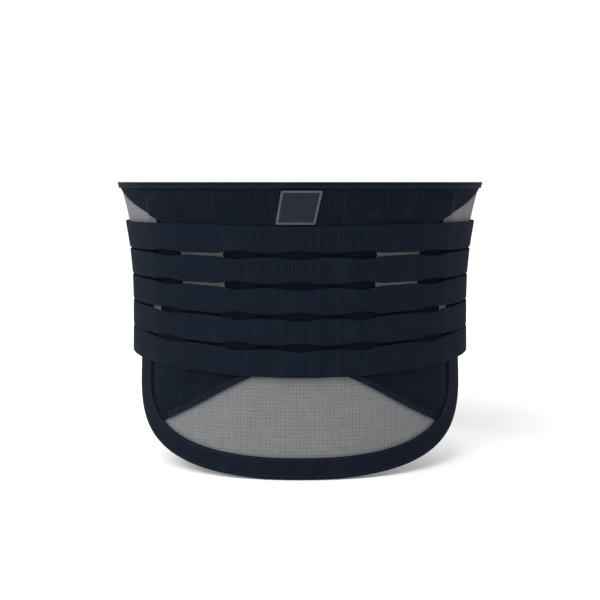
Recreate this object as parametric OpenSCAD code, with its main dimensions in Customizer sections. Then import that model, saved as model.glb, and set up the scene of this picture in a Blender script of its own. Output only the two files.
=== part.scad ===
// Lumbar back brace: a mesh belt with five elastic straps gathered over upright stays.
// +Z is up, the back faces -Y and the front closure faces +Y; the origin is the middle of the waist.
// Places round the waist are millimetres along a tape measure laid on the body: s = 0 is the spine,
// positive s runs over +X to the front. Depths are millimetres outwards from the body.

/* [Body] */
// Half the waist's width
waist_half_width = 135.6; // [113:0.1:163]
// Half the waist's depth
waist_half_depth = 98; // [82:0.1:118]
// Top edge's height over the waist line
top_height = 91; // [82:1:110]
// How far the top edge stands out from the waist
top_flare = 12.8; // [5:0.1:16]
// How far the low edge of the back stands out from the waist
hip_flare = 6; // [0:0.1:9]

/* [Back] */
// Half the width of the low back flap, round the waist
flap_half_width = 145; // [134:1:158]
// Depth of the flap's rounded part
flap_depth = 75.8; // [62:0.1:90]
// Height at which the flap's rounding begins
flap_shoulder = -60; // [-66:1:-56]
// Squareness of the flap's rounding, 2 is an ellipse
flap_square = 2.6; // [2.2:0.1:3]
// Height of the low edge at the sides
side_low = -38; // [-42:1:-36]
// Radius of the notch between side edge and flap
notch_r = 7; // [5:0.5:9]

/* [Cloth] */
// Thickness of the spacer mesh
mesh_t = 2.4; // [1.8:0.1:3]
// Thickness of the perforated panels and of the loop cloth
panel_t = 0.8; // [0.6:0.1:1]
// Thickness of the folded edge binding
binding_t = 1; // [0.8:0.1:1.2]
// Width of the narrow top binding
top_binding_w = 4.9; // [4:0.1:7]
// Width of the broad bottom binding
bottom_binding_w = 16.5; // [12:0.5:18]
// Width of the wings' binding
wing_binding_w = 8; // [6:0.5:10]
// Space between two layers of cloth
layer_gap = 0.2; // [0.2:0.05:0.3]

/* [Window] */
// Height of the mesh window's crown
window_top = -48; // [-52:1:-46]
// Fall of the window's upper edge, height for each millimetre round the waist
window_fall = 0.54; // [0.5:0.01:0.58]
// Roundness of the window's crown
window_round = 20; // [15:1:25]
// Half the length of the window's hem
window_half = 104; // [100:1:106]
// Width of the window's hem
hem_w = 4.5; // [3:0.5:5]

/* [Straps] */
// Number of elastic straps
strap_count = 5; // [5:1:5]
// Width of a strap
strap_w = 20.2; // [16.8:0.1:20.8]
// Distance from strap to strap at the spine
strap_pitch = 23.5; // [23:0.05:24]
// Height of the middle strap
strap_mid = 0.85; // [-1:0.05:2]
// Thickness of a strap
strap_t = 1.2; // [1:0.1:1.5]
// How much narrower a strap is over a stay
strap_neck = 4.4; // [2:0.1:5.3]
// Half the length of the narrowed stretch
neck_half = 18; // [15:1:20]
// Share by which the straps draw together towards the sides
strap_gather = 0.08; // [0.04:0.01:0.08]
// Height that the straps draw together towards
gather_height = 45; // [30:1:50]

/* [Stays] */
// Thickness of a stay
stay_t = 0.6; // [0.5:0.1:0.7]
// Thickness of the pocket tape
pocket_t = 0.5; // [0.4:0.1:0.6]
// Space round a stay in its pocket
stay_gap = 0.15; // [0.1:0.05:0.2]
// Top end of every pocket
pocket_top = 72; // [64:1:74]
// Low end of the three inner pockets
inner_pocket_low = -31; // [-33:1:-28]
// Low end of the two outer pockets
outer_pocket_low = -68; // [-70:1:-64]
// Pocket widths, from the left to the right
pocket_widths = [22, 22, 30, 22, 22];
// Pocket places round the waist, from the left to the right
pocket_places = [-105, -46, 0, 46, 105];

/* [Wings] */
// How far the left, upper wing goes past the middle of the front
wing_lap = 57; // [50:1:62]
// How far the right, lower wing stops short of the middle of the front
wing_short = 2.3; // [1:0.1:6]
// Radius of the wings' corners
wing_corner = 24; // [18:1:28]
// How far the top edge drops towards the front
front_drop = 22; // [15:1:28]
// How far the low edge drops towards the front
front_low = 8; // [4:1:12]
// Hook patch's thickness
hook_t = 1.2; // [1:0.1:1.5]
// Width of the closure's hook patch
hook_w = 28; // [20:1:30]
// Height of the closure's hook patch
hook_h = 76; // [60:1:80]

/* [Pull tabs] */
// Length of a strap from the side seam to the pull tab
side_strap_l = 50; // [44:1:56]
// Length of the pull tab
tab_length = 60; // [50:1:66]
// Height of the pull tab's front end
tab_end_h = 66; // [56:1:76]
// Radius of the tab's corners
tab_corner = 12; // [8:1:16]
// Thickness of one ply of the tab
tab_t = 0.7; // [0.6:0.1:0.8]
// Width of the grip tape folded over the tab's end
grip_w = 12; // [10:1:14]

/* [Badge] */
// Width of the plain badge
badge_w = 27.5; // [20:0.5:30]
// Height of the plain badge
badge_h = 25.3; // [20:0.1:26]
// Height of the badge's middle
badge_z = 72.4; // [70:0.1:73]
// Badge's middle round the waist
badge_s = -1.3; // [-3:0.1:3]
// Sideways lean for each millimetre of height
badge_lean = 0.14; // [0:0.01:0.2]
// Width of the badge's border
badge_border_w = 1.7; // [1.2:0.1:2.4]
// Thickness of the badge
badge_t = 0.7; // [0.5:0.1:1]
// How far the border stands over the badge
badge_rim = 0.3; // [0.2:0.1:0.5]

/* [Hidden] */
sides = ["left", "right"];
NODES = [
    "back_mesh", "upper_panel", "centre_panel", "lower_panel", "window_hem", "badge", "badge_border",
    "top_binding", "bottom_binding",
    for (k = [1:strap_count]) str("back_strap_", k),
    for (k = [1:len(pocket_places)]) str("stay_pocket_", k),
    for (k = [1:len(pocket_places)]) str("stay_", k),
    for (side = sides) each [
        str(side, "_wing_mesh"), str(side, "_wing_panel"), str(side, "_wing_binding"),
        for (k = [1:strap_count]) str(side, "_strap_", k),
        str(side, "_pull_outer"), str(side, "_pull_inner"), str(side, "_pull_hook"),
        str(side, "_pull_grip")
    ],
    "left_closure_hook"
];
node = "all";

cloth_step = 8;           // greatest spacing of the upright lines of facets
body_gap = 0.5;           // half the space between cloth on two bodies that meet edge to edge
edge_inset = binding_t + 5 * layer_gap;   // from an outline to the cloth inside its binding
notch_step = 1;           // run of the cloth's edge beside the flap's upright edge
mesh_rows = 11;           // rows of facets up the back mesh
upper_rows = 8;           // up the upper panel
centre_rows = 4;          // up the centre panel
lower_rows = 12;          // up the lower panel
wing_rows = 8;            // up a wing's plies
stay_rows = 10;           // up the stays and their pockets
tab_rows = 8;             // up a pull tab's plies
panel_tuck_low = 50;      // upper panel's low edge, behind the top strap
panel_rise_from = 74;     // where the upper panel's low edge starts to rise
panel_short = 20;         // how far from the side seam it reaches the top binding
panel_rise_power = 1.2;
centre_half = 46;         // half the centre panel's width, out to the middle of the inner pockets
centre_high = 42;         // its top edge, behind the top strap
centre_low = 0;           // its low edge, behind the middle strap
lower_steps = [[103, centre_low], [107, -18]]; // half place, height of the lower panel's top
bulge_rim = 7;            // run over which a panel comes back down beside a pocket
bulge_fade = 8;           // height over which it comes down past a pocket's end
bulge_margin = 1;         // panel that stays raised beside a pocket
bulge_stop = 3;           // flat panel left below the top binding
stay_inset = 3;           // from a pocket's edge to its stay
hook_from = 8;            // from the pull tab's sewn end to its hook patch
hook_inset = 4;           // from the pull tab's outline to its hook patch
hook_clear = 2;           // from a hook patch to the tape along the edge next to it
strap_cover = 2;          // how much taller the tab's sewn end is than the five straps
taper_gap = 20;           // from the side seam to where a wing starts to narrow
taper_end = 39;           // from there to the middle of the front, where it has narrowed
loop_gap = 15;            // from the side seam to the wings' loop cloth
lap_start = 51;           // before the middle of the front, where the upper wing starts to rise
lap_end = 11;             // before it, where it has risen over the lower wing

// Depths of the layers, outwards from the body
panel_in = mesh_t + layer_gap;
pocket_in = panel_in;
pocket_depth = 2 * pocket_t + 2 * stay_gap + stay_t;
bulge = pocket_depth + layer_gap;
strap_in = panel_in + bulge + panel_t + layer_gap;
strap_out = strap_in + strap_t;
binding_out = panel_in + panel_t + layer_gap;
binding_in = -layer_gap - binding_t;
body_clear = 0.4;         // space between the two wings, and from a pull tab to its wing
lap_lift = binding_out + binding_t + body_clear - binding_in;
tab_hook_in = binding_out + binding_t + body_clear;
tab_in = tab_hook_in + hook_t + layer_gap;
tab_out = tab_in + tab_t + layer_gap;
badge_in = strap_in;

// The tape measure: turn about the waist's axis, in degrees, for a length round the waist
arc_turn = 0.5;
arc_last = 480;
function arc_rate(t) = PI / 180 * norm([waist_half_width * cos(t), waist_half_depth * sin(t)]);
arc_table = [
    for (i = 0, s = 0; i <= arc_last; s = s + arc_rate((i + 0.5) * arc_turn) * arc_turn, i = i + 1)
        [s, i * arc_turn]
];
function turn(s) = sign(s) * lookup(abs(s), arc_table);
function measure(t) = arc_table[round(t / arc_turn)][0];
side_seam = measure(90);
front_mid = measure(180);
back_end = side_seam - body_gap;
seam = side_seam + body_gap;
left_end = front_mid + wing_lap;
right_end = front_mid - wing_short;
taper_from = side_seam + taper_gap;
taper_to = front_mid - taper_end;
lap_from = front_mid - lap_start;
lap_to = front_mid - lap_end;
panel_rise_to = side_seam - panel_short;
tab_start = side_seam + side_strap_l;
function clip(v) = min(1, max(0, v));
function ease(v) = let (u = clip(v)) u * u * (3 - 2 * u);

function flare(z) = z > 0 ? top_flare * pow(z / top_height, 2)
    : hip_flare * pow(z / (flap_shoulder - flap_depth), 2);
function place(s, z, depth) = let (t = turn(s), out = flare(z) + depth)
    [(waist_half_width + out) * sin(t), -(waist_half_depth + out) * cos(t), z];

// Outlines
function flap_z(s, inset) = flap_shoulder
    - (flap_depth - inset)
        * pow(1 - pow(min(1, s / (flap_half_width - inset)), flap_square), 1 / flap_square);
function flap_point(a) = [flap_half_width * pow(sin(a), 2 / flap_square),
    flap_shoulder - flap_depth * pow(cos(a), 2 / flap_square)];
function notch_z(s, inset) = let (dx = flap_half_width + notch_r - s)
    side_low - notch_r + sqrt(max(0, pow(notch_r + inset, 2) - dx * dx));
function back_low(s, inset) = let (d = abs(s))
    d <= flap_half_width - inset ? flap_z(d, inset)
    : d < flap_half_width + notch_r ? notch_z(d, inset) : side_low + inset;
function window_z(s) = window_top - window_fall * (norm([s, window_round]) - window_round);
function wing_taper(s) = ease((abs(s) - taper_from) / (taper_to - taper_from));
function wing_top(s) = top_height - front_drop * wing_taper(s);
function wing_low(s) = side_low - front_low * wing_taper(s);
function corner_z(s, end, inset) = let (dx = max(0, abs(s) - (end - wing_corner)))
    wing_corner - sqrt(max(0, pow(wing_corner - inset, 2) - dx * dx));
function lap(s) = s < 0 ? lap_lift * ease((-s - lap_from) / (lap_to - lap_from)) : 0;

// Straps: height of strap k's middle and half its width, at s
function gathered(z, s) = z + (gather_height - z) * strap_gather * pow(sin(min(90, abs(turn(s)))), 2);
function strap_z(k, s) = gathered(strap_mid + strap_pitch * ((strap_count + 1) / 2 - k), s);
function nearest_stay(s) = min([for (p = pocket_places) abs(s - p)]);
function strap_half(s) = (strap_w - strap_neck * (1 - ease(nearest_stay(s) / neck_half))) / 2;
// The outer edges of the first and the last strap run straight
function strap_low(k, s) = strap_z(k, s) - (k == strap_count ? strap_w / 2 : strap_half(s));
function strap_high(k, s) = strap_z(k, s) + (k == 1 ? strap_w / 2 : strap_half(s));

// How far a panel is raised over the pockets at s, z
function pocket_low(k) = abs(pocket_places[k]) > window_half / 2 ? outer_pocket_low : inner_pocket_low;
function raise_at(k, s, z) =
    clip(1 - (abs(s - pocket_places[k]) - pocket_widths[k] / 2 - bulge_margin) / bulge_rim)
    * clip((z - pocket_low(k) + 1.5 * bulge_fade) / bulge_fade)
    * clip((top_height - top_binding_w - bulge_stop - z) / bulge_fade);
function raised(s, z) = bulge * max([for (k = [0:len(pocket_places) - 1]) raise_at(k, s, z)]);

// Upright lines for a cloth: the given places, with equal steps between them
function spread(keys) = [
    for (i = [0:len(keys) - 2])
        let (n = max(1, ceil((keys[i + 1] - keys[i]) / cloth_step)))
            for (j = [0:n - 1]) keys[i] + (keys[i + 1] - keys[i]) * j / n,
    keys[len(keys) - 1]
];
stay_keys = [
    for (k = [0:len(pocket_places) - 1]) let (w = pocket_widths[k] / 2 + bulge_margin, p = pocket_places[k])
        each [p - w - bulge_rim, p - w, p, p + w, p + w + bulge_rim]
];
function between(keys, a, b) = [for (s = keys) if (s > a && s < b) s];
function mirrored(list) = [for (i = [len(list) - 1:-1:0]) -list[i]];
function reversed(list) = [for (i = [len(list) - 1:-1:0]) list[i]];

// A ply of cloth: upright lines at places, from low(s) to high(s), between depths inner and outer
module ply(places, low, high, rows, inner, outer, lean = 0) {
    n = len(places) - 1;
    points = [
        for (s = places, j = [0:rows])
            let (z = low(s) + (high(s) - low(s)) * j / rows, at = s + lean * (z - low(s)))
                each [place(at, z, inner(at, z)), place(at, z, outer(at, z))]
    ];
    function inn(i, j) = 2 * (i * (rows + 1) + j);
    function out(i, j) = inn(i, j) + 1;
    quads = [
        for (i = [0:n - 1], j = [0:rows - 1]) each [
            [out(i, j), out(i, j + 1), out(i + 1, j + 1), out(i + 1, j)],
            [inn(i, j), inn(i + 1, j), inn(i + 1, j + 1), inn(i, j + 1)]
        ],
        for (i = [0:n - 1]) each [
            [out(i, 0), out(i + 1, 0), inn(i + 1, 0), inn(i, 0)],
            [out(i + 1, rows), out(i, rows), inn(i, rows), inn(i + 1, rows)]
        ],
        for (j = [0:rows - 1]) each [
            [out(0, j + 1), out(0, j), inn(0, j), inn(0, j + 1)],
            [out(n, j), out(n, j + 1), inn(n, j + 1), inn(n, j)]
        ]
    ];
    polyhedron(points, [for (q = quads) each [[q[0], q[1], q[2]], [q[0], q[2], q[3]]]]);
}

// A tape along an outline of [s, z] points, with the cloth on the left of its direction. The section
// is a list of [distance in from the outline, depth], and lift(s, z) is added to the depths.
module edge_tape(path, section, lift) {
    n = len(path) - 1;
    m = len(section);
    points = [
        for (i = [0:n])
            let (d = path[min(n, i + 1)] - path[max(0, i - 1)], across = [-d.y, d.x] / norm(d))
                for (q = section) let (p = path[i] + across * q[0]) place(p.x, p.y, q[1] + lift(p.x, p.y))
    ];
    quads = [
        for (i = [0:n - 1], j = [0:m - 1])
            [i * m + j, (i + 1) * m + j, (i + 1) * m + (j + 1) % m, i * m + (j + 1) % m]
    ];
    polyhedron(points, [
        for (q = quads) each [[q[0], q[1], q[2]], [q[0], q[2], q[3]]],
        [for (j = [0:m - 1]) j],
        [for (j = [m - 1:-1:0]) n * m + j]
    ]);
}
no_lift = function(s, z) 0;

// A folded binding's section: over the edge, with both plies w wide
function folded(w, inner, outer, t) = [
    [0, inner], [w, inner], [w, inner + t], [t, inner + t],
    [t, outer], [w, outer], [w, outer + t], [0, outer + t]
];
// The same with a line of points down the middle of each ply, so that a wide one bends over the body
function folded_wide(w, inner, outer, t) = let (f = folded(w, inner, outer, t), m = w / 2) [
    f[0], [m, inner], f[1], f[2], [m, inner + t], f[3], f[4], [m, outer], f[5], f[6], [m, outer + t], f[7]
];

module back_mesh() {
    notch = flap_half_width - edge_inset;
    round_keys = [for (u = [0.25:0.25:1]) flap_half_width + notch_r * u];
    right = spread([0, notch, notch + notch_step, each round_keys, back_end]);
    color("darkgray")
        ply(concat(mirrored(between(right, 0, back_end + 1)), right),
            function(s) back_low(s, edge_inset), function(s) top_height - edge_inset, mesh_rows,
            function(s, z) 0, function(s, z) mesh_t);
}

function upper_low(s) = panel_tuck_low + (top_height - top_binding_w - panel_tuck_low)
    * pow(clip((abs(s) - panel_rise_from) / (panel_rise_to - panel_rise_from)), panel_rise_power);
module upper_panel() {
    color("midnightblue")
        ply(spread([-panel_rise_to, each stay_keys, panel_rise_to]),
            function(s) upper_low(s), function(s) top_height - edge_inset, upper_rows,
            function(s, z) panel_in + raised(s, z), function(s, z) panel_in + panel_t + raised(s, z));
}

module centre_panel() {
    color("midnightblue")
        ply(spread([-centre_half, each between(stay_keys, -centre_half, centre_half), centre_half]),
            function(s) centre_low, function(s) centre_high, centre_rows,
            function(s, z) panel_in + raised(s, z), function(s, z) panel_in + panel_t + raised(s, z));
}

module lower_panel() {
    half = flap_half_width - 1.5 * edge_inset;
    keys = [for (s = stay_keys) if (s < -lower_steps[1][0] || abs(s) < lower_steps[0][0]) s];
    ordered = [
        -half, each between(keys, -half, -lower_steps[1][0]), -lower_steps[1][0], -lower_steps[0][0],
        each between(keys, -lower_steps[0][0], 0)
    ];
    color("midnightblue")
        ply(spread([each ordered, 0, each mirrored(ordered)]),
            function(s) max(window_z(s), back_low(s, bottom_binding_w / 2)),
            function(s) lookup(abs(s), lower_steps) - layer_gap, lower_rows,
            function(s, z) panel_in + raised(s, z), function(s, z) panel_in + panel_t + raised(s, z));
}

module window_hem() {
    path = [for (s = [-window_half:window_half / 24:window_half]) [s, window_z(s)]];
    outer = binding_out + panel_t;
    color("black")
        edge_tape(path, [[0, binding_out], [hem_w, binding_out], [hem_w, outer], [0, outer]], no_lift);
}

module badge_ply(inset, inner, outer) {
    low = badge_z - badge_h / 2 + inset;
    half = badge_w / 2 - inset;
    from = badge_s - half + badge_lean * (inset - badge_h / 2);
    ply([for (i = [0:0.25:1]) from + 2 * half * i],
        function(s) low, function(s) badge_z + badge_h / 2 - inset, 3,
        function(s, z) inner, function(s, z) outer, badge_lean);
}
module badge() {
    color("darkslategray") badge_ply(badge_border_w + layer_gap, badge_in, badge_in + badge_t);
}
module badge_border() {
    color("slategray") difference() {
        badge_ply(0, badge_in, badge_in + badge_t + badge_rim);
        badge_ply(badge_border_w, badge_in - 1, badge_in + badge_t + 1);
    }
}

module top_binding() {
    path = [for (s = spread([-back_end, back_end])) [-s, top_height]];
    color("black") edge_tape(path, folded(top_binding_w, binding_in, binding_out, binding_t), no_lift);
}

module bottom_binding() {
    corner = flap_half_width + notch_r;
    right = [
        for (a = [0:4:88]) flap_point(a),
        flap_point(90),
        for (a = [180:-15:90]) [corner + notch_r * cos(a), side_low - notch_r + notch_r * sin(a)],
        for (s = spread([corner + 2, back_end])) [s, side_low]
    ];
    left = [for (i = [len(right) - 1:-1:1]) [-right[i].x, right[i].y]];
    section = folded_wide(bottom_binding_w, binding_in, binding_out, binding_t);
    color("black") edge_tape(concat(left, right), section, no_lift);
}

// Strap k between two places
module strap_length(k, from, to) {
    keys = [for (p = pocket_places) each [p - neck_half, p, p + neck_half]];
    color("navy")
        ply(spread([from, each between(keys, from, to), to]),
            function(s) strap_low(k, s), function(s) strap_high(k, s), 1,
            function(s, z) strap_in, function(s, z) strap_out);
}
module back_strap(k) {
    strap_length(k, -back_end, back_end);
}
module side_strap(side, k) {
    if (side == "left") strap_length(k, -tab_start, -seam);
    else strap_length(k, seam, tab_start);
}

// A strip under the panels at pocket k, inset from the pocket's edges
module stay_strip(k, inset, inner, outer) {
    half = pocket_widths[k] / 2 - inset;
    ply(spread([pocket_places[k] - half, pocket_places[k] + half]),
        function(s) pocket_low(k) + inset, function(s) pocket_top - inset, stay_rows,
        function(s, z) inner, function(s, z) outer);
}
module stay_pocket(k) {
    color("black") {
        stay_strip(k, 0, pocket_in, pocket_in + pocket_t);
        stay_strip(k, 0, pocket_in + pocket_depth - pocket_t, pocket_in + pocket_depth);
    }
}
module stay(k) {
    from = pocket_in + pocket_t + stay_gap;
    color("silver") stay_strip(k, stay_inset, from, from + stay_t);
}

function wing_end(side) = side == "left" ? left_end : right_end;
// A ply of a wing, between two distances from the spine, inset from the outline
module wing_ply(side, from, inset, inner, outer) {
    end = wing_end(side);
    right = spread([from, taper_from + 2, end - wing_corner, end - wing_corner / 2, end - 3, end - inset]);
    ply(side == "left" ? mirrored(right) : right,
        function(s) wing_low(s) + corner_z(s, end, inset),
        function(s) wing_top(s) - corner_z(s, end, inset), wing_rows,
        function(s, z) lap(s) + inner, function(s, z) lap(s) + outer);
}
module wing_mesh(side) {
    color("darkgray") wing_ply(side, seam, edge_inset, 0, mesh_t);
}
module wing_panel(side) {
    color("black") wing_ply(side, side_seam + loop_gap, edge_inset, panel_in, panel_in + panel_t);
}
module wing_binding(side) {
    end = wing_end(side);
    r = wing_corner;
    along = spread([seam, end - r - 1]);
    upright = spread([wing_low(end) + r + 1, wing_top(end) - r - 1]);
    right = [
        for (s = along) [s, wing_low(s)],
        for (a = [-90:15:0]) [end - r + r * cos(a), wing_low(end) + r + r * sin(a)],
        for (z = upright) [end, z],
        for (a = [0:15:90]) [end - r + r * cos(a), wing_top(end) - r + r * sin(a)],
        for (s = reversed(along)) [s, wing_top(s)]
    ];
    path = side == "left" ? [for (p = reversed(right)) [-p.x, p.y]] : right;
    color("black")
        edge_tape(path, folded(wing_binding_w, binding_in, binding_out, binding_t), function(s, z) lap(s));
}
module closure_hook() {
    outer = lap_lift - layer_gap;
    mid = (wing_top(left_end) + wing_low(left_end)) / 2;
    to = -(left_end - wing_binding_w - hook_clear);
    color("dimgray")
        ply(spread([to, to + hook_w]), function(s) mid - hook_h / 2, function(s) mid + hook_h / 2, 4,
            function(s, z) outer - hook_t, function(s, z) outer);
}

// Pull tab: a tapered tab with round corners, inset from its outline
tab_end = tab_start + tab_length;
tab_from = tab_start + body_gap;
tab_mid = (strap_z(1, tab_start) + strap_z(strap_count, tab_start)) / 2;
tab_start_h = strap_z(1, tab_start) - strap_z(strap_count, tab_start) + strap_w + strap_cover;
function tab_half(s) = (tab_start_h + (tab_end_h - tab_start_h) * (abs(s) - tab_start) / tab_length) / 2;
function tab_round(s, inset) = let (dx = max(0, abs(s) - (tab_end - tab_corner)))
    tab_corner - sqrt(max(0, pow(tab_corner - inset, 2) - dx * dx));
module tab_ply(side, from, to, inset, inner, outer) {
    keys = between([tab_end - tab_corner, tab_end - tab_corner / 2, tab_end - 2.5], from, to);
    right = spread([from, each keys, to]);
    ply(side == "left" ? mirrored(right) : right,
        function(s) tab_mid - tab_half(s) + tab_round(s, inset),
        function(s) tab_mid + tab_half(s) - tab_round(s, inset), tab_rows,
        function(s, z) inner, function(s, z) outer);
}
module pull_outer(side) {
    color("black") tab_ply(side, tab_from, tab_end - edge_inset, edge_inset, tab_out, tab_out + tab_t);
}
module pull_inner(side) {
    color("black") tab_ply(side, tab_from, tab_end - edge_inset, edge_inset, tab_in, tab_in + tab_t);
}
module pull_hook(side) {
    to = tab_end - grip_w - hook_clear;
    color("dimgray") tab_ply(side, tab_from + hook_from, to, hook_inset, tab_hook_in, tab_hook_in + hook_t);
}
module pull_grip(side) {
    r = tab_corner;
    low = tab_mid - tab_half(tab_end) + r;
    high = tab_mid + tab_half(tab_end) - r;
    right = [
        for (a = [-45:15:0]) [tab_end - r + r * cos(a), low + r * sin(a)],
        for (z = [1:3]) [tab_end, low + (high - low) * z / 4],
        for (a = [0:15:45]) [tab_end - r + r * cos(a), high + r * sin(a)]
    ];
    path = side == "left" ? [for (p = reversed(right)) [-p.x, p.y]] : right;
    clear = 1.5 * layer_gap;
    section = folded(grip_w, tab_in - clear - binding_t, tab_out + tab_t + clear, binding_t);
    color("dimgray") edge_tape(path, section, no_lift);
}

function shows(name) = node == "all" || node == name;
if (shows("back_mesh")) back_mesh();
if (shows("upper_panel")) upper_panel();
if (shows("centre_panel")) centre_panel();
if (shows("lower_panel")) lower_panel();
if (shows("window_hem")) window_hem();
if (shows("badge")) badge();
if (shows("badge_border")) badge_border();
if (shows("top_binding")) top_binding();
if (shows("bottom_binding")) bottom_binding();
for (k = [1:strap_count]) if (shows(str("back_strap_", k))) back_strap(k);
for (k = [1:len(pocket_places)]) if (shows(str("stay_pocket_", k))) stay_pocket(k - 1);
for (k = [1:len(pocket_places)]) if (shows(str("stay_", k))) stay(k - 1);
for (side = sides) {
    if (shows(str(side, "_wing_mesh"))) wing_mesh(side);
    if (shows(str(side, "_wing_panel"))) wing_panel(side);
    if (shows(str(side, "_wing_binding"))) wing_binding(side);
    for (k = [1:strap_count]) if (shows(str(side, "_strap_", k))) side_strap(side, k);
    if (shows(str(side, "_pull_outer"))) pull_outer(side);
    if (shows(str(side, "_pull_inner"))) pull_inner(side);
    if (shows(str(side, "_pull_hook"))) pull_hook(side);
    if (shows(str(side, "_pull_grip"))) pull_grip(side);
}
if (shows("left_closure_hook")) closure_hook();
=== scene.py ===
"""Lumbar back brace: grey spacer mesh, perforated panels, ribbed elastic straps over upright stays,
a badge without a mark, front wings that open and pull tabs that peel off.

Places on the brace are millimetres along a tape measure laid round the waist (0 is the spine, more is
towards +X), millimetres of height, and millimetres outwards from the body."""

import math

import bmesh
import bpy
import numpy as np
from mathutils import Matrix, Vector


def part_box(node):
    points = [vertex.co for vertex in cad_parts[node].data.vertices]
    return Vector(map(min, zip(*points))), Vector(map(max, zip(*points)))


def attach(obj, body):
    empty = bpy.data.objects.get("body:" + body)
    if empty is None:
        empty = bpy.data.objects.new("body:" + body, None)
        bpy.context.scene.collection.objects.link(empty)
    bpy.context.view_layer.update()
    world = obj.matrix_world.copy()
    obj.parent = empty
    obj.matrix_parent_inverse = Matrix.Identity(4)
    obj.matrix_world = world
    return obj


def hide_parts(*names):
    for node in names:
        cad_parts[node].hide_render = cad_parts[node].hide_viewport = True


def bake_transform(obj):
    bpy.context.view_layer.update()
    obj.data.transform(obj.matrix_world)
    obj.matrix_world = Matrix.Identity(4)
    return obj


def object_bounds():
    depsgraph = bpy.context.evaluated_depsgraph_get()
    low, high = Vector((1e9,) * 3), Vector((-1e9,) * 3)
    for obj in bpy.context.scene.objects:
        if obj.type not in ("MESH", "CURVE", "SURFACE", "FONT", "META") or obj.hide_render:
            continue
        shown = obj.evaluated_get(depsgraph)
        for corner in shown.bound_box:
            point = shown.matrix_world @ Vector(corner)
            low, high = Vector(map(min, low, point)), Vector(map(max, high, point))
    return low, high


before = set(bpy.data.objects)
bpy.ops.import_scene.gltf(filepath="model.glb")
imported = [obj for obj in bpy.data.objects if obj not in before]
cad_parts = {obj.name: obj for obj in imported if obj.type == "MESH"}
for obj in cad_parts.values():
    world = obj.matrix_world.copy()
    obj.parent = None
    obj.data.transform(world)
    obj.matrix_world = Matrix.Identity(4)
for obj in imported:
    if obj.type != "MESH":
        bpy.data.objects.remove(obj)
CAD_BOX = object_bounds()

bl_info = {
    "name": "Back Brace",
    "version": (1, 0, 0),
    "blender": (4, 5, 0),
    "location": "3D View > Sidebar > Back Brace",
    "description": "Builds a lumbar back brace with elastic straps over a mesh belt",
    "category": "Add Mesh",
}

SIDES = {"left": -1, "right": 1}
STRAPS = range(1, 6)
UV = "cloth"
MERGE = 1e-6  # points nearer than this are one, in metres
STITCH_UP = 0.03  # how far a stitch's middle stands over its cloth, in millimetres
BADGE_SINK = 0.15  # how far the badge is pressed into the panel, in millimetres
ARC_CUT = 0.29  # how far the middle of a rounded corner lies inside its square, for its radius


def length(name, text, default, low=0.0):
    """A size in metres, given in millimetres."""
    return bpy.props.FloatProperty(
        name=name, description=text, default=default / 1000, min=low / 1000, unit="LENGTH", precision=5
    )


def ratio(name, text, default, low=0.0, high=100.0):
    return bpy.props.FloatProperty(
        name=name, description=text, default=default, min=low, max=high, subtype="FACTOR"
    )


def colour(name, text, default):
    return bpy.props.FloatVectorProperty(
        name=name, description=text, default=default, size=3, min=0, max=1, subtype="COLOR"
    )


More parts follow.
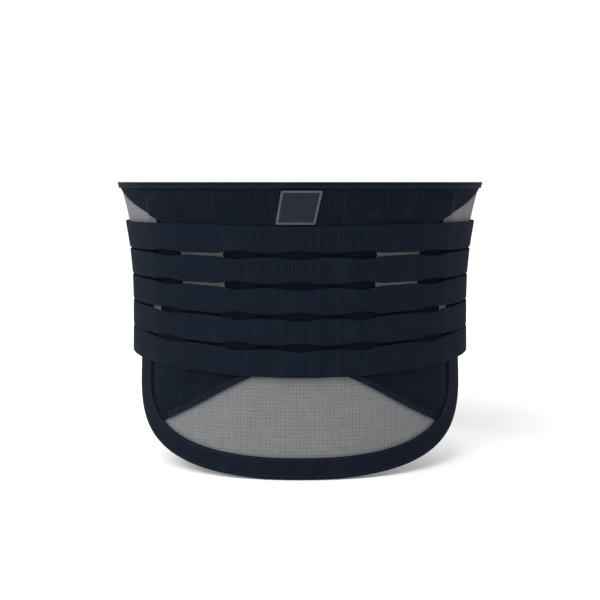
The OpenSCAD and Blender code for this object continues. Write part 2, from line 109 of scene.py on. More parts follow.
class BraceSizes(bpy.types.PropertyGroup):
    """Lengths of the brace's pieces"""

    waist_half_width: length("Waist half width", "Half the waist's width", 135.6)
    waist_half_depth: length("Waist half depth", "Half the waist's depth", 98)
    top_height: length("Top height", "Top edge over the waist line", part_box("top_binding")[1].z * 1000)
    top_flare: length("Top flare", "How far the top edge stands out", 12.8)
    hip_flare: length("Hip flare", "How far the flap's low edge stands out", 6)
    flap_half_width: length("Flap half width", "Half the low back flap's width", 145)
    flap_depth: length("Flap depth", "Depth of the flap's rounded part", 75.8)
    flap_shoulder: length("Flap shoulder", "Height where the flap's rounding begins", -60, -200)
    side_low: length("Side low edge", "Height of the low edge at the sides", -38, -200)
    notch_r: length("Notch radius", "Radius between side edge and flap", 7)
    mesh_t: length("Mesh thickness", "Thickness of the spacer mesh", 2.4)
    panel_t: length("Panel thickness", "Thickness of the perforated panels", 0.8)
    binding_t: length("Binding thickness", "Thickness of the folded binding", 1)
    top_binding_w: length("Top binding width", "Width of the top binding", 4.9)
    bottom_binding_w: length("Bottom binding width", "Width of the bottom binding", 16.5)
    wing_binding_w: length("Wing binding width", "Width of the wings' binding", 8)
    layer_gap: length("Layer gap", "Space between two layers", 0.2)
    window_top: length("Window top", "Height of the mesh window's crown", -48, -200)
    window_round: length("Window roundness", "Roundness of the window's crown", 20)
    window_half: length("Window half length", "Half the length of the window's hem", 104)
    hem_w: length("Hem width", "Width of the window's hem", 4.5)
    strap_w: length("Strap width", "Width of a strap", 20.2)
    strap_pitch: length("Strap pitch", "Distance from strap to strap", 23.5)
    strap_mid: length("Middle strap height", "Height of the middle strap", 0.85)
    strap_t: length("Strap thickness", "Thickness of a strap", 1.2)
    strap_neck: length("Strap neck", "How much narrower a strap is over a stay", 3.4)
    neck_half: length("Neck half length", "Half the length of the narrowed stretch", 18)
    strap_sink: length("Strap sink", "How far the straps sink in between the stays", 1.2)
    rib_pitch: length("Rib pitch", "Distance between the ribs of the elastic", 2.75)
    rib_height: length("Rib height", "Height of the ribs of the elastic", 0.32)
    gather_height: length("Gather height", "Height that the straps draw together towards", 45)
    mesh_pitch: length("Mesh pitch", "Distance between the pits of the spacer mesh", 2.8)
    pit_depth: length("Pit depth", "Depth of the pits of the spacer mesh", 0.4)
    hole_pitch: length("Hole pitch", "Distance between the perforations in a row", 3)
    stitch_pitch: length("Stitch pitch", "Distance from stitch to stitch", 3)
    stitch_length: length("Stitch length", "Length of one stitch", 2.2)
    thread_width: length("Thread width", "Width of the thread", 0.5)
    wing_lap: length("Wing lap", "How far the left wing passes the middle", 57)
    wing_short: length("Wing shortfall", "How far the right wing stops short of it", 2.3)
    wing_corner: length("Wing corner", "Radius of the wings' corners", 24)
    front_drop: length("Front drop", "Drop of the top edge towards the front", 22)
    front_low: length("Front low", "Drop of the low edge towards the front", 8)
    hook_t: length("Hook thickness", "Thickness of the hook patches", 1.2)
    hook_w: length("Closure hook width", "Width of the closure's hook patch", 28)
    hook_h: length("Closure hook height", "Height of the closure's hook patch", 76)
    side_strap_l: length("Side strap length", "Strap length from side seam to tab", 50)
    tab_length: length("Tab length", "Length of a pull tab", 60)
    tab_end_h: length("Tab end height", "Height of the tab's front end", 66)
    tab_corner: length("Tab corner", "Radius of the tab's corners", 12)
    tab_t: length("Tab thickness", "Thickness of one ply of the tab", 0.7)
    grip_w: length("Grip width", "Width of the grip tape", 12)
    badge_w: length("Badge width", "Width of the plain badge", 27.5)
    badge_h: length("Badge height", "Height of the plain badge", 25.3)
    badge_z: length("Badge place", "Height of the badge's middle", 72.0)
    badge_s: length("Badge offset", "Badge's middle round the waist", -0.9, -50)
    badge_border_w: length("Badge border", "Width of the badge's border", 1.7)
    badge_t: length("Badge thickness", "Thickness of the badge", 0.7)
    badge_rim: length("Badge rim", "Height of the border over the badge", 0.3)


class BraceShape(bpy.types.PropertyGroup):
    """Proportions of the brace's pieces"""

    flap_square: ratio("Flap squareness", "2 rounds the flap like an ellipse", 2.6)
    window_fall: ratio("Window fall", "Fall of the window's upper edge", 0.54)
    strap_gather: ratio("Strap gather", "Share by which straps draw together", 0.08)
    badge_lean: ratio("Badge lean", "Sideways lean for its height", 0.18)
    hole_share: ratio("Hole share", "Width of a perforation in its cell", 0.42)


class BraceColours(bpy.types.PropertyGroup):
    """Colours of the brace's cloths and fittings"""

    spacer: colour("Spacer mesh", "Grey spacer mesh", (0.185, 0.187, 0.192))
    spacer_groove: colour("Spacer grooves", "Grid between the mesh's loops", (0.105, 0.107, 0.113))
    panel: colour("Panel", "Perforated panels", (0.0050, 0.0092, 0.0165))
    elastic: colour("Elastic", "Ribbed straps", (0.0046, 0.0086, 0.0160))
    binding: colour("Binding", "Edge binding and hem", (0.0054, 0.0090, 0.0168))
    # painted shade: a darker colour for the dark cloth behind the straps, where their shade falls
    unfaded: colour("Unfaded cloth", "Cloth behind the straps", (0.0003, 0.0022, 0.0075))
    # dark tape, made darker than the panels as painted shade for the gaps between the straps where it shows
    pocket: colour("Pocket tape", "Tape of the stay pockets", (0.0012, 0.0034, 0.0095))
    loop: colour("Loop cloth", "Brushed loop cloth of the wings", (0.014, 0.0165, 0.021))
    tab: colour("Tab cloth", "Cloth of the pull tabs", (0.0115, 0.0155, 0.023))
    grip: colour("Grip tape", "Grip tape of the pull tabs", (0.032, 0.038, 0.047))
    hook: colour("Hook tape", "Hook patches", (0.0125, 0.0135, 0.016))
    badge: colour("Badge", "Plain badge", (0.0088, 0.0128, 0.0190))
    badge_border: colour("Badge border", "Border of the badge", (0.056, 0.068, 0.080))
    thread: colour("Thread", "Sewing thread", (0.0066, 0.0105, 0.0180))
    hem_shade: colour("Hem shade", "Band on the mesh under the hem", (0.085, 0.092, 0.125))
    steel: colour("Steel", "Stays", (0.55, 0.56, 0.58))
    floor: colour("Floor", "Studio floor", (0.97, 0.97, 0.97))
    backdrop: colour("Backdrop", "Light all round", (0.99, 0.99, 1.0))


def clip(v):
    return np.clip(v, 0, 1)


def ease(v):
    u = clip(v)
    return u * u * (3 - 2 * u)


def flat(at):
    """No lift: the piece lies on the layer under it."""
    return 0 * np.asarray(at, float)


def arc(x, z, r, start, end, step):
    """Points on an arc round x, z, between two angles in degrees."""
    a = np.radians(np.arange(start, end + math.copysign(0.1, step), step))
    return np.stack([x + r * np.cos(a), z + r * np.sin(a)], 1)


def mirrored(path, side):
    return path[::-1] * [-1, 1] if side == "left" else path


class Brace:
    """The brace's sizes in millimetres, the outlines of its cloths and the depths of its layers."""

    pockets = ((-105, 22), (-46, 22), (0, 30), (46, 22), (105, 22))  # place and width
    pocket_top, inner_pocket_low, outer_pocket_low = 72, -31, -68
    pocket_depth = 1.9
    pocket_cut = 112.6  # from here to the side seam an outer pocket's tape ends behind the first strap
    facing_low, facing_step = -6, 129  # the low edge of that facing, up to a step
    facing_over = 15  # how far over the side's low edge it ends, beyond the step
    facing_t = 0.6
    hidden_from_top = 34  # from the top edge to where cloth behind the first strap may end
    cloth_inset = 2  # how far cloth stops inside its folded binding
    centre_half, centre_top = 46, 42
    panel_rise_from, panel_rise_short, panel_rise_power = 73, 17, 1.2
    panel_tuck = 50
    raise_beside, raise_ease = 1, 7  # how a panel comes down beside a pocket
    raise_under, raise_end, binding_clear = 12, 8, 3  # and at its ends
    body_clear = 0.4
    window_crown, crown_at = 2.4, 44
    strap_more, broad_from, broad_to, broad_ease = 0.8, 50, 116, 8
    last_strap_drop, first_strap_rise, rise_at = 1.1, 1.6, 90
    sink_from, sink_ease = 12, 14
    cover_tuck, cover_ease = 1, 3
    taper_after_seam, taper_before_mid = 20, 39
    lap_before_mid = (51, 11)

    def __init__(self):
        scene = bpy.context.scene
        for key in BraceSizes.__annotations__:
            setattr(self, key, getattr(scene.brace_sizes, key) * 1000)
        for key in BraceShape.__annotations__:
            setattr(self, key, getattr(scene.brace_shape, key))
        steps = np.radians(np.arange(0, 240, 0.25))
        rate = np.hypot(self.waist_half_width * np.cos(steps), self.waist_half_depth * np.sin(steps))
        run = np.concatenate([[0], np.cumsum((rate[1:] + rate[:-1]) / 2 * (steps[1] - steps[0]))])
        self.tape, self.tape_turn = run, steps
        self.side_seam = float(np.interp(math.pi / 2, steps, run))
        self.front_mid = float(np.interp(math.pi, steps, run))
        self.back_end = self.side_seam
        self.taper_from = self.side_seam + self.taper_after_seam
        self.taper_to = self.front_mid - self.taper_before_mid
        self.lap_from, self.lap_to = (self.front_mid - short for short in self.lap_before_mid)
        self.wing_end = {"left": self.front_mid + self.wing_lap, "right": self.front_mid - self.wing_short}
        self.tab_start = self.side_seam + self.side_strap_l
        self.tab_end = self.tab_start + self.tab_length
        self.panel_rise_to = self.side_seam - self.panel_rise_short
        self.behind_strap = self.top_height - self.hidden_from_top
        gap = self.layer_gap
        self.panel_in = self.mesh_t + gap
        self.bulge = self.pocket_depth + gap
        self.strap_in = self.panel_in + self.bulge + self.panel_t + gap
        self.strap_out = self.strap_in + self.strap_t
        self.binding_out = self.panel_in + self.panel_t + gap
        self.binding_in = -gap - self.binding_t
        self.lap_lift = self.binding_out + self.binding_t + self.body_clear - self.binding_in
        self.tab_hook_in = self.binding_out + self.binding_t + self.body_clear
        self.tab_in = self.tab_hook_in + self.hook_t + gap
        self.tab_out = self.tab_in + self.tab_t + gap
        self.badge_base = self.strap_in - BADGE_SINK
        ends = self.strap_z(1, self.tab_start), self.strap_z(5, self.tab_start)
        self.tab_mid = float(ends[0] + ends[1]) / 2
        self.tab_start_h = float(ends[0] - ends[1]) + self.strap_w + 2

    def turn(self, s):
        return np.sign(s) * np.interp(np.abs(s), self.tape, self.tape_turn)

    def flare(self, z):
        low = self.hip_flare * (z / (self.flap_shoulder - self.flap_depth)) ** 2
        return np.where(z > 0, self.top_flare * (z / self.top_height) ** 2, low)

    def place(self, s, z, depth):
        """Points in metres."""
        s, z, depth = np.broadcast_arrays(*(np.asarray(v, float) for v in (s, z, depth)))
        t, out = self.turn(s), self.flare(z) + depth
        x = (self.waist_half_width + out) * np.sin(t)
        y = -(self.waist_half_depth + out) * np.cos(t)
        return np.stack([x, y, z], -1) / 1000

    def outward(self, s, z):
        """The direction straight out of the body."""
        d = self.place(s, z, 1) - self.place(s, z, 0)
        u = self.place(np.add(s, 0.5), z, 0) - self.place(np.subtract(s, 0.5), z, 0)
        v = self.place(s, np.add(z, 0.5), 0) - self.place(s, np.subtract(z, 0.5), 0)
        n = np.cross(u, v)
        n *= np.sign((n * d).sum(-1, keepdims=True))
        return n / np.linalg.norm(n, axis=-1, keepdims=True)

    def flap_z(self, d, inset):
        u = np.minimum(1, d / (self.flap_half_width - inset))
        round_off = (1 - u**self.flap_square) ** (1 / self.flap_square)
        return self.flap_shoulder - (self.flap_depth - inset) * round_off

    def back_low(self, s, inset=0.0):
        d = np.abs(np.asarray(s, float))
        dx = self.flap_half_width + self.notch_r - d
        notch = self.side_low - self.notch_r + np.sqrt(np.maximum(0, (self.notch_r + inset) ** 2 - dx * dx))
        side = np.where(dx > 0, notch, self.side_low + inset)
        return np.where(d <= self.flap_half_width - inset, self.flap_z(d, inset), side)

    def flap_outline(self):
        """The low edge as [s, z] points, from the left to the right."""
        a = np.radians(np.arange(0, 90.1, 1.0))
        power = 2 / self.flap_square
        low = self.flap_shoulder - self.flap_depth * np.cos(a) ** power
        flap = np.stack([self.flap_half_width * np.sin(a) ** power, low], 1)
        corner = self.flap_half_width + self.notch_r
        notch = arc(corner, self.side_low - self.notch_r, self.notch_r, 180, 90, -10)
        side = np.array([[s, self.side_low] for s in np.linspace(corner, self.back_end, 16)[1:]])
        right = resampled(np.concatenate([flap, notch, side]), 2.0)
        return np.concatenate([right[:0:-1] * [-1, 1], right])

    def window_z(self, s):
        crown = self.window_crown * ease(1 - np.abs(np.abs(s) - self.crown_at) / self.crown_at)
        fall = self.window_fall * (np.hypot(s, self.window_round) - self.window_round)
        return self.window_top + crown - fall

    def wing_taper(self, s):
        return ease((np.abs(s) - self.taper_from) / (self.taper_to - self.taper_from))

    def wing_top(self, s):
        return self.top_height - self.front_drop * self.wing_taper(s)

    def wing_low(self, s):
        return self.side_low - self.front_low * self.wing_taper(s)

    def corner_z(self, s, end, inset):
        dx = np.maximum(0, np.abs(s) - (end - self.wing_corner))
        return self.wing_corner - np.sqrt(np.maximum(0, (self.wing_corner - inset) ** 2 - dx * dx))

    def lap(self, s):
        """How far the left wing is lifted over the right one."""
        u = ease((-np.asarray(s, float) - self.lap_from) / (self.lap_to - self.lap_from))
        return self.lap_lift * u

    def lift(self, side):
        return self.lap if side == "left" else flat

    def strap_z(self, k, s):
        z = self.strap_mid + self.strap_pitch * (3 - k)
        pull = np.sin(np.minimum(math.pi / 2, np.abs(self.turn(s)))) ** 2
        return z + (self.gather_height - z) * self.strap_gather * pull

    def off_stay(self, s):
        """Distance from the nearest stay."""
        return np.min([np.abs(s - p) for p, _ in self.pockets], axis=0)

    def strap_half(self, s):
        at = np.abs(s)
        broad = ease((at - self.broad_from) / self.broad_ease) * ease((self.broad_to - at) / self.broad_ease)
        neck = self.strap_neck * (1 - ease(self.off_stay(s) / self.neck_half))
        return (self.strap_w + self.strap_more * broad - neck) / 2

    def strap_edges(self, k, s):
        """The low and the high edge of a strap: the outer edges of the first and the last run straight."""
        z, half, straight = self.strap_z(k, s), self.strap_half(s), self.strap_w / 2
        below = straight + self.last_strap_drop if k == STRAPS[-1] else half
        above = straight + self.first_strap_rise * ease(np.abs(s) / self.rise_at) if k == STRAPS[0] else half
        return z - below, z + above

    def covered(self, s, z):
        """Where the cloth lies in the straps' shade: the mask for the painted shade on the dark cloth there
        and for the painted light on the mesh.
        """
        high, low = self.strap_edges(STRAPS[0], s)[1], self.strap_edges(STRAPS[-1], s)[0]
        return ease((high - self.cover_tuck - z) / self.cover_ease) * ease(
            (z - low - self.cover_tuck) / self.cover_ease)

    def sunk(self, s):
        """How far a strap lies in between the stays."""
        return self.strap_sink * ease((self.off_stay(s) - self.sink_from) / self.sink_ease)

    def pocket_low(self, p):
        return self.outer_pocket_low if abs(p) > self.window_half / 2 else self.inner_pocket_low

    def upper_low(self, s):
        """The low edge of the upper panel: behind the first strap, and rising towards the sides."""
        share = clip((np.abs(s) - self.panel_rise_from) / (self.panel_rise_to - self.panel_rise_from))
        rise = self.top_height - self.top_binding_w - self.panel_tuck
        return self.panel_tuck + rise * share**self.panel_rise_power

    def raised(self, s, z):
        """How far a panel is raised over the pockets."""
        high = [
            ease(1 - (np.abs(s - p) - w / 2 - self.raise_beside) / self.raise_ease)
            * ease((z - self.pocket_low(p) + self.raise_under) / self.raise_end)
            for p, w in self.pockets
        ]
        under_binding = self.top_height - self.top_binding_w - self.binding_clear - z
        return self.bulge * np.max(high, axis=0) * ease(under_binding / self.raise_end)

    def tab_half(self, s):
        share = (np.abs(s) - self.tab_start) / self.tab_length
        return (self.tab_start_h + (self.tab_end_h - self.tab_start_h) * share) / 2


# Meshes


def resampled(path, step):
    """The path again with points about step apart."""
    path = np.asarray(path, float)
    along = lengths_along(path)
    at = np.linspace(0, along[-1], max(2, int(math.ceil(along[-1] / step)) + 1))
    return np.stack([np.interp(at, along, path[:, k]) for k in range(path.shape[1])], 1)


def lengths_along(path):
    """The length of a path at each of its points."""
    return np.concatenate([[0], np.cumsum(np.linalg.norm(np.diff(path, axis=0), axis=1))])


def left_of(path, closed=False):
    """The unit direction to the left of a path in the [s, z] plane, at each of its points."""
    d = np.roll(path, -1, 0) - np.roll(path, 1, 0) if closed else np.gradient(path, axis=0)
    return np.stack([-d[:, 1], d[:, 0]], 1) / np.linalg.norm(d, axis=1)[:, None]


def cleaned(mesh, keep_loose=False):
    """Merges the points of a mesh that lie together, and deletes its slivers or its loose points."""
    bm = bmesh.new()
    bm.from_mesh(mesh)
    bmesh.ops.remove_doubles(bm, verts=bm.verts, dist=MERGE)
    if keep_loose:
        bmesh.ops.dissolve_degenerate(bm, edges=bm.edges, dist=MERGE / 10)
    else:
        bmesh.ops.delete(bm, geom=[v for v in bm.verts if not v.link_faces], context="VERTS")
    bm.to_mesh(mesh)
    bm.free()


def link(name, mesh):
    obj = bpy.data.objects.new(name, mesh)
    bpy.context.scene.collection.objects.link(obj)
    return obj


def new_object(name, points, faces, uvs, clean=True):
    """A mesh object from points in metres, faces, and one texture place for each corner."""
    mesh = bpy.data.meshes.new(name)
    mesh.from_pydata(points.reshape(-1, 3).tolist(), [], faces)
    mesh.uv_layers.new(name=UV).data.foreach_set("uv", uvs.astype(np.float32).ravel())
    if clean:
        cleaned(mesh, keep_loose=True)
    mesh.shade_smooth()
    return link(name, mesh)


def corners(place, i, j):
    """The texture places of the quads whose first corners are i, j."""
    return np.stack([place[i, j], place[i + 1, j], place[i + 1, j + 1], place[i, j + 1]], 1).reshape(-1, 2)


def ring_quads(n, m):
    """The quads between n rings of m points, with the indices of their first corners."""
    i, j = (a.ravel() for a in np.meshgrid(np.arange(n - 1), np.arange(m), indexing="ij"))
    k = (j + 1) % m
    return i, j, np.stack([i * m + j, (i + 1) * m + j, (i + 1) * m + k, i * m + k], 1).tolist()


def sharpen(obj, degrees=50):
    obj.data.set_sharp_from_angle(angle=math.radians(degrees))


def tube(name, points, u, v, flat_ends=True):
    """A closed solid from rings of points [n, m, 3]: u is the length at each ring [n], or [n, m + 1],
    and v the length round the ring [m + 1], or [n, m + 1]."""
    n, m = points.shape[:2]
    i, j, faces = ring_quads(n, m)
    u = np.broadcast_to(u if np.ndim(u) == 2 else np.asarray(u)[:, None], (n, m + 1))
    v = np.broadcast_to(v if np.ndim(v) == 2 else np.asarray(v)[None, :], (n, m + 1))
    place = np.stack([u, v], -1) / 1000
    ends = []
    if flat_ends:  # quads across each end, from one side of the ring to the other
        around = [(c, c + 1, m - 2 - c, m - 1 - c) for c in range(m // 2 - 1)]
    else:
        around = [tuple(range(m))]
    last = (n - 1) * m
    for ring in around:
        back = (ring[1], ring[0], *ring[:1:-1]) if flat_ends else ring[::-1]
        faces += [list(back), [last + c for c in ring]]
        ends += [place[0, c] for c in back] + [place[-1, c] for c in ring]
    return new_object(name, points, faces, np.concatenate([corners(place, i, j), np.array(ends)]))


def ply(brace, name, s, low, high, inner, outer, rows=None, step=None, lean=0.0, rim=0.25, across=None):
    """A ply of cloth: columns at s, from low to high, between two depths. It has a number of rows, or a
    lattice of them step apart, cut off at the outline. Its rims are rounded off by rim, and a rim below 0
    rounds off its ends as well."""
    s = np.asarray(s, float)
    low, high = np.broadcast_to(low, s.shape), np.broadcast_to(high, s.shape)
    if step:
        lines = np.arange(math.floor(low.min() / step), math.ceil(high.max() / step) + 1) * step
        z = np.clip(lines[None, :], low[:, None], high[:, None])
    else:
        share = np.asarray(rows if np.ndim(rows) else np.linspace(0, 1, rows + 1))
        z = low[:, None] + (high - low)[:, None] * share[None, :]
    at = s[:, None] + lean * (z - low[:, None])
    d_in, d_out = (np.broadcast_to(f(at, z) if callable(f) else f, z.shape) for f in (inner, outer))
    edge = np.minimum(z - low[:, None], high[:, None] - z)
    edge = np.minimum(edge, np.minimum(at - at.min(), at.max() - at)) if rim < 0 else edge
    if rim:
        round_off = np.minimum(abs(rim), (d_out - d_in) * 0.4) * (1 - np.sqrt(clip(edge / 0.6)))
        d_in, d_out = d_in + round_off, d_out - round_off
    front, back = brace.place(at, z, d_out), brace.place(at, z, d_in)
    points = np.concatenate([front, back[:, ::-1]], 1)
    side = z if across is None else across(at, z)
    u = np.concatenate([at, at[:, ::-1], at[:, :1]], 1)
    v = np.concatenate([side, side[:, ::-1], side[:, :1]], 1)
    return tube(name, points, u, v)


def tape(brace, name, path, section, lift=flat, closed=False, share=1.0):
    """A tape along [s, z] points, with the cloth on the left of its direction. The section is a ring of
    [distance in from the outline, depth], and share its width for each point."""
    path, section = np.asarray(path, float), np.asarray(section, float)
    wide = np.broadcast_to(share, len(path))[:, None, None]
    at = path[:, None, :] + left_of(path, closed)[:, None, :] * section[None, :, :1] * wide
    depth = section[None, :, 1] + lift(path[:, 0])[:, None]
    points = brace.place(at[..., 0], at[..., 1], depth)
    v = lengths_along(np.concatenate([section, section[:1]]))
    if not closed:
        return tube(name, points, lengths_along(path), v, flat_ends=False)
    points = np.concatenate([points, points[:1]])
    along = lengths_along(np.concatenate([path, path[:1]]))
    i, j, faces = ring_quads(*points.shape[:2])
    place = np.stack(np.broadcast_arrays(along[:, None], v[None, :]), -1) / 1000
    return new_object(name, points, faces, corners(place, i, j))


def folded(w, inner, outer, t, parts=6):
    """The section of a binding folded over an edge, with both plies w wide and rounded corners."""
    r = t * 0.38
    wide = np.linspace(t, w - r, parts)
    arc = [(1 - math.cos(a), math.sin(a)) for a in np.radians([0, 30, 60, 90])]
    big = r * 1.6
    fold = [(big * c, inner + big - big * h) for c, h in arc]  # from the side, round to the inside
    over = [(big * c, outer + t - big + big * h) for c, h in arc]
    lip = [(1 - math.sin(a), 1 - math.cos(a)) for a in np.radians([0, 45, 90])]
    lip_in = [(w - r * c, inner + r * h) for c, h in lip] + [(w, inner + t - r), (w - r, inner + t)]
    lip_out = [(w - r, outer), (w, outer + r)] + [(w - r * h, outer + t - r * c) for c, h in lip]
    ring = fold + [(x, inner) for x in wide[:-1]] + lip_in
    ring += [(x, inner + t) for x in wide[::-1][1:]]
    ring += [(x, outer) for x in wide[:-1]] + lip_out
    ring += [(x, outer + t) for x in wide[::-1][1:]] + over[::-1]
    return ring


def slab(x0, x1, low, high, r=0.3, parts=4):
    """A flat tape's section, with rounded corners."""
    wide = np.linspace(x0 + r, x1 - r, parts + 1)
    r2 = min(r, (high - low) / 2)
    cut, cut2 = r * ARC_CUT, r2 * ARC_CUT
    right = [(x1 - cut, low + cut2), (x1, low + r2), (x1, high - r2), (x1 - cut, high - cut2)]
    left = [(x0 + cut, high - cut2), (x0, high - r2), (x0, low + r2), (x0 + cut, low + cut2)]
    return [(x, low) for x in wide] + right + [(x, high) for x in wide[::-1]] + left


# Geometry Nodes


def wire(tree, kind, settings=None, inputs=None):
    """A node in a tree: settings are its properties, and inputs are links or values."""
    node = tree.nodes.new(kind)
    for key, value in (settings or {}).items():
        setattr(node, key, value)
    for key, value in (inputs or {}).items():
        if isinstance(value, bpy.types.NodeSocket):
            tree.links.new(value, node.inputs[key])
        else:
            node.inputs[key].default_value = value
    return node


def geometry_tree(name, sockets):
    tree = bpy.data.node_groups.new(name, "GeometryNodeTree")
    face = tree.interface
    face.new_socket("Geometry", in_out="INPUT", socket_type="NodeSocketGeometry")
    for label, kind, value in sockets:
        socket = face.new_socket(label, in_out="INPUT", socket_type="NodeSocket" + kind)
        if value is not None:
            socket.default_value = value
    face.new_socket("Geometry", in_out="OUTPUT", socket_type="NodeSocketGeometry")
    given = tree.nodes.new("NodeGroupInput")
    made = tree.nodes.new("NodeGroupOutput")
    return tree, given.outputs, made.inputs


def finish_tree(tree, given, made, geometry):
    whole = wire(tree, "GeometryNodeRealizeInstances", inputs={"Geometry": geometry})
    painted = wire(tree, "GeometryNodeSetMaterial",
                   inputs={"Geometry": whole.outputs[0], "Material": given["Material"]})
    tree.links.new(painted.outputs[0], made["Geometry"])
    return tree


def math_node(tree, operation, *values):
    return wire(tree, "ShaderNodeMath", {"operation": operation}, dict(enumerate(values))).outputs[0]


def vector_node(tree, operation, first, key, second):
    return wire(tree, "ShaderNodeVectorMath", {"operation": operation}, {0: first, key: second}).outputs[0]


def product(tree, first, *others):
    for other in others:
        first = math_node(tree, "MULTIPLY", first, other)
    return first


def wave_node(tree, shape, turns):
    """A sine or cosine of a number of turns, from 0 to 1."""
    wave = math_node(tree, shape, product(tree, turns, 2 * math.pi))
    return math_node(tree, "MULTIPLY_ADD", wave, 0.5, 0.5)


def attribute(tree, name, kind="FLOAT"):
    return wire(tree, "GeometryNodeInputNamedAttribute", {"data_type": kind}, {"Name": name}).outputs[0]


def moved_out(tree, given, distance):
    """The given geometry with its points moved along their normals."""
    normal = wire(tree, "GeometryNodeInputNormal").outputs[0]
    offset = vector_node(tree, "SCALE", normal, "Scale", distance)
    return wire(tree, "GeometryNodeSetPosition",
                inputs={"Geometry": given["Geometry"], "Offset": offset}).outputs[0]


def ribs_tree():
    """Raises ribs across a strap: points marked as its face move out along the normal."""
    tree, given, made = geometry_tree(
        "ribs_tree",
        [("Pitch", "Float", 0.00275), ("Height", "Float", 0.0003), ("Material", "Material", None)],
    )
    turns = math_node(tree, "DIVIDE", attribute(tree, "along"), given["Pitch"])
    crest = math_node(tree, "POWER", wave_node(tree, "COSINE", turns), 0.6)
    height = product(tree, crest, given["Height"], attribute(tree, "face"))
    return finish_tree(tree, given, made, moved_out(tree, given, height))


def pits_tree():
    """Presses the pits of a spacer mesh into its two faces."""
    tree, given, made = geometry_tree(
        "pits_tree", [("Pitch", "Float", 0.0028), ("Depth", "Float", 0.0004), ("Material", "Material", None)]
    )
    waves = [wave_node(tree, "COSINE", math_node(tree, "DIVIDE", attribute(tree, name), given["Pitch"]))
             for name in ("along", "up")]
    depth = product(tree, *waves, given["Depth"], -1.0)
    return finish_tree(tree, given, made, moved_out(tree, given, depth))


def perforations_tree():
    """Opens a hole in the middle of each marked face."""
    tree, given, made = geometry_tree(
        "perforations_tree", [("Hole share", "Float", 0.6), ("Material", "Material", None)]
    )
    inset = wire(tree, "GeometryNodeExtrudeMesh", {"mode": "FACES"},
                 {"Mesh": given["Geometry"], "Selection": attribute(tree, "pierced", "BOOLEAN"),
                  "Offset Scale": 0.0, "Individual": True})
    scaled = wire(tree, "GeometryNodeScaleElements", {"domain": "FACE"},
                  {"Geometry": inset.outputs["Mesh"], "Selection": inset.outputs["Top"],
                   "Scale": given["Hole share"]})
    opened = wire(tree, "GeometryNodeDeleteGeometry", {"domain": "FACE"},
                  {"Geometry": scaled.outputs[0], "Selection": inset.outputs["Top"]})
    return finish_tree(tree, given, made, opened.outputs[0])


def stitches_tree():
    """Lays stitches along lines whose points know the way out of the cloth."""
    tree, given, made = geometry_tree(
        "stitches_tree",
        [("Pitch", "Float", 0.003), ("Length", "Float", 0.0022), ("Thread", "Float", 0.0005),
         ("Unevenness", "Float", 0.06), ("Seed", "Int", 5), ("Material", "Material", None)],
    )
    line = wire(tree, "GeometryNodeMeshToCurve", inputs={"Mesh": given["Geometry"]})
    spaced = wire(tree, "GeometryNodeResampleCurve", {"mode": "LENGTH"},
                  {"Curve": line.outputs[0], "Length": given["Pitch"]})
    tangent = wire(tree, "GeometryNodeInputTangent").outputs[0]
    skew = wire(tree, "FunctionNodeRandomValue", {"data_type": "FLOAT_VECTOR"},
                {"Seed": given["Seed"], "Min": (-1, -1, -1), "Max": (1, 1, 1)})
    shake = vector_node(tree, "SCALE", skew.outputs["Value"], "Scale", given["Unevenness"])
    way = vector_node(tree, "ADD", tangent, 1, shake)
    turn = wire(tree, "FunctionNodeAxesToRotation", {"primary_axis": "Z", "secondary_axis": "X"},
                {0: attribute(tree, "outward", "FLOAT_VECTOR"), 1: way})
    ball = wire(tree, "GeometryNodeMeshUVSphere", inputs={"Segments": 6, "Rings": 4, "Radius": 1.0})
    half = {axis: product(tree, given[name], share)
            for axis, name, share in (("X", "Length", 0.5), ("Y", "Thread", 0.5), ("Z", "Thread", 0.4))}
    size = wire(tree, "ShaderNodeCombineXYZ", inputs=half)
    laid = wire(tree, "GeometryNodeInstanceOnPoints",
                inputs={"Points": spaced.outputs[0], "Instance": ball.outputs["Mesh"],
                        "Rotation": turn.outputs[0], "Scale": size.outputs[0]})
    return finish_tree(tree, given, made, laid.outputs[0])


def add_nodes(obj, make, values):
    """Puts a geometry tree on an object, with its inputs set."""
    tree = bpy.data.node_groups.get(make.__name__) or make()
    modifier = obj.modifiers.new(tree.name, "NODES")
    modifier.node_group = tree
    for item in tree.interface.items_tree:
        if item.in_out == "INPUT" and item.name in values:
            modifier[item.identifier] = values[item.name]


def with_nodes(obj, make, values):
    """As add_nodes, and turns the result into a plain mesh."""
    add_nodes(obj, make, values)
    return settled(obj)


def settled(obj):
    """The object with its modifiers' result as a plain mesh."""
    graph = bpy.context.evaluated_depsgraph_get()
    mesh = bpy.data.meshes.new_from_object(
        obj.evaluated_get(graph), preserve_all_data_layers=True, depsgraph=graph
    )
    old = obj.data
    obj.modifiers.clear()
    obj.data = mesh
    mesh.name = obj.name
    bpy.data.meshes.remove(old)
    return obj


def mark(obj, name, values, kind="FLOAT", domain="POINT"):
    layer = obj.data.attributes.new(name, kind, domain)
    key = "vector" if kind == "FLOAT_VECTOR" else "value"
    layer.data.foreach_set(key, np.asarray(values).ravel())


def unmark(obj, *names):
    for name in names:
        layer = obj.data.attributes.get(name)
        if layer:
            obj.data.attributes.remove(layer)


def points_of(obj):
    co = np.zeros(len(obj.data.vertices) * 3, np.float32)
    obj.data.vertices.foreach_get("co", co)
    return co.reshape(-1, 3).astype(float)


def tape_places(brace, obj):
    """Each point's place round the waist, its height and its depth, in millimetres."""
    co = points_of(obj) * 1000
    z = co[:, 2]
    depth = np.zeros(len(co))
    for _ in range(6):
        out = brace.flare(z) + depth
        t = np.arctan2(co[:, 0] / (brace.waist_half_width + out), -co[:, 1] / (brace.waist_half_depth + out))
        base = np.stack([brace.waist_half_width * np.sin(t), -brace.waist_half_depth * np.cos(t)], 1)
        flare = brace.flare(z)
        way = np.stack([np.sin(t), -np.cos(t)], 1)
        depth = ((co[:, :2] - base) * way).sum(1) - flare
    s = np.sign(t) * np.interp(np.abs(t), brace.tape_turn, brace.tape)
    return s, z, depth


# Materials


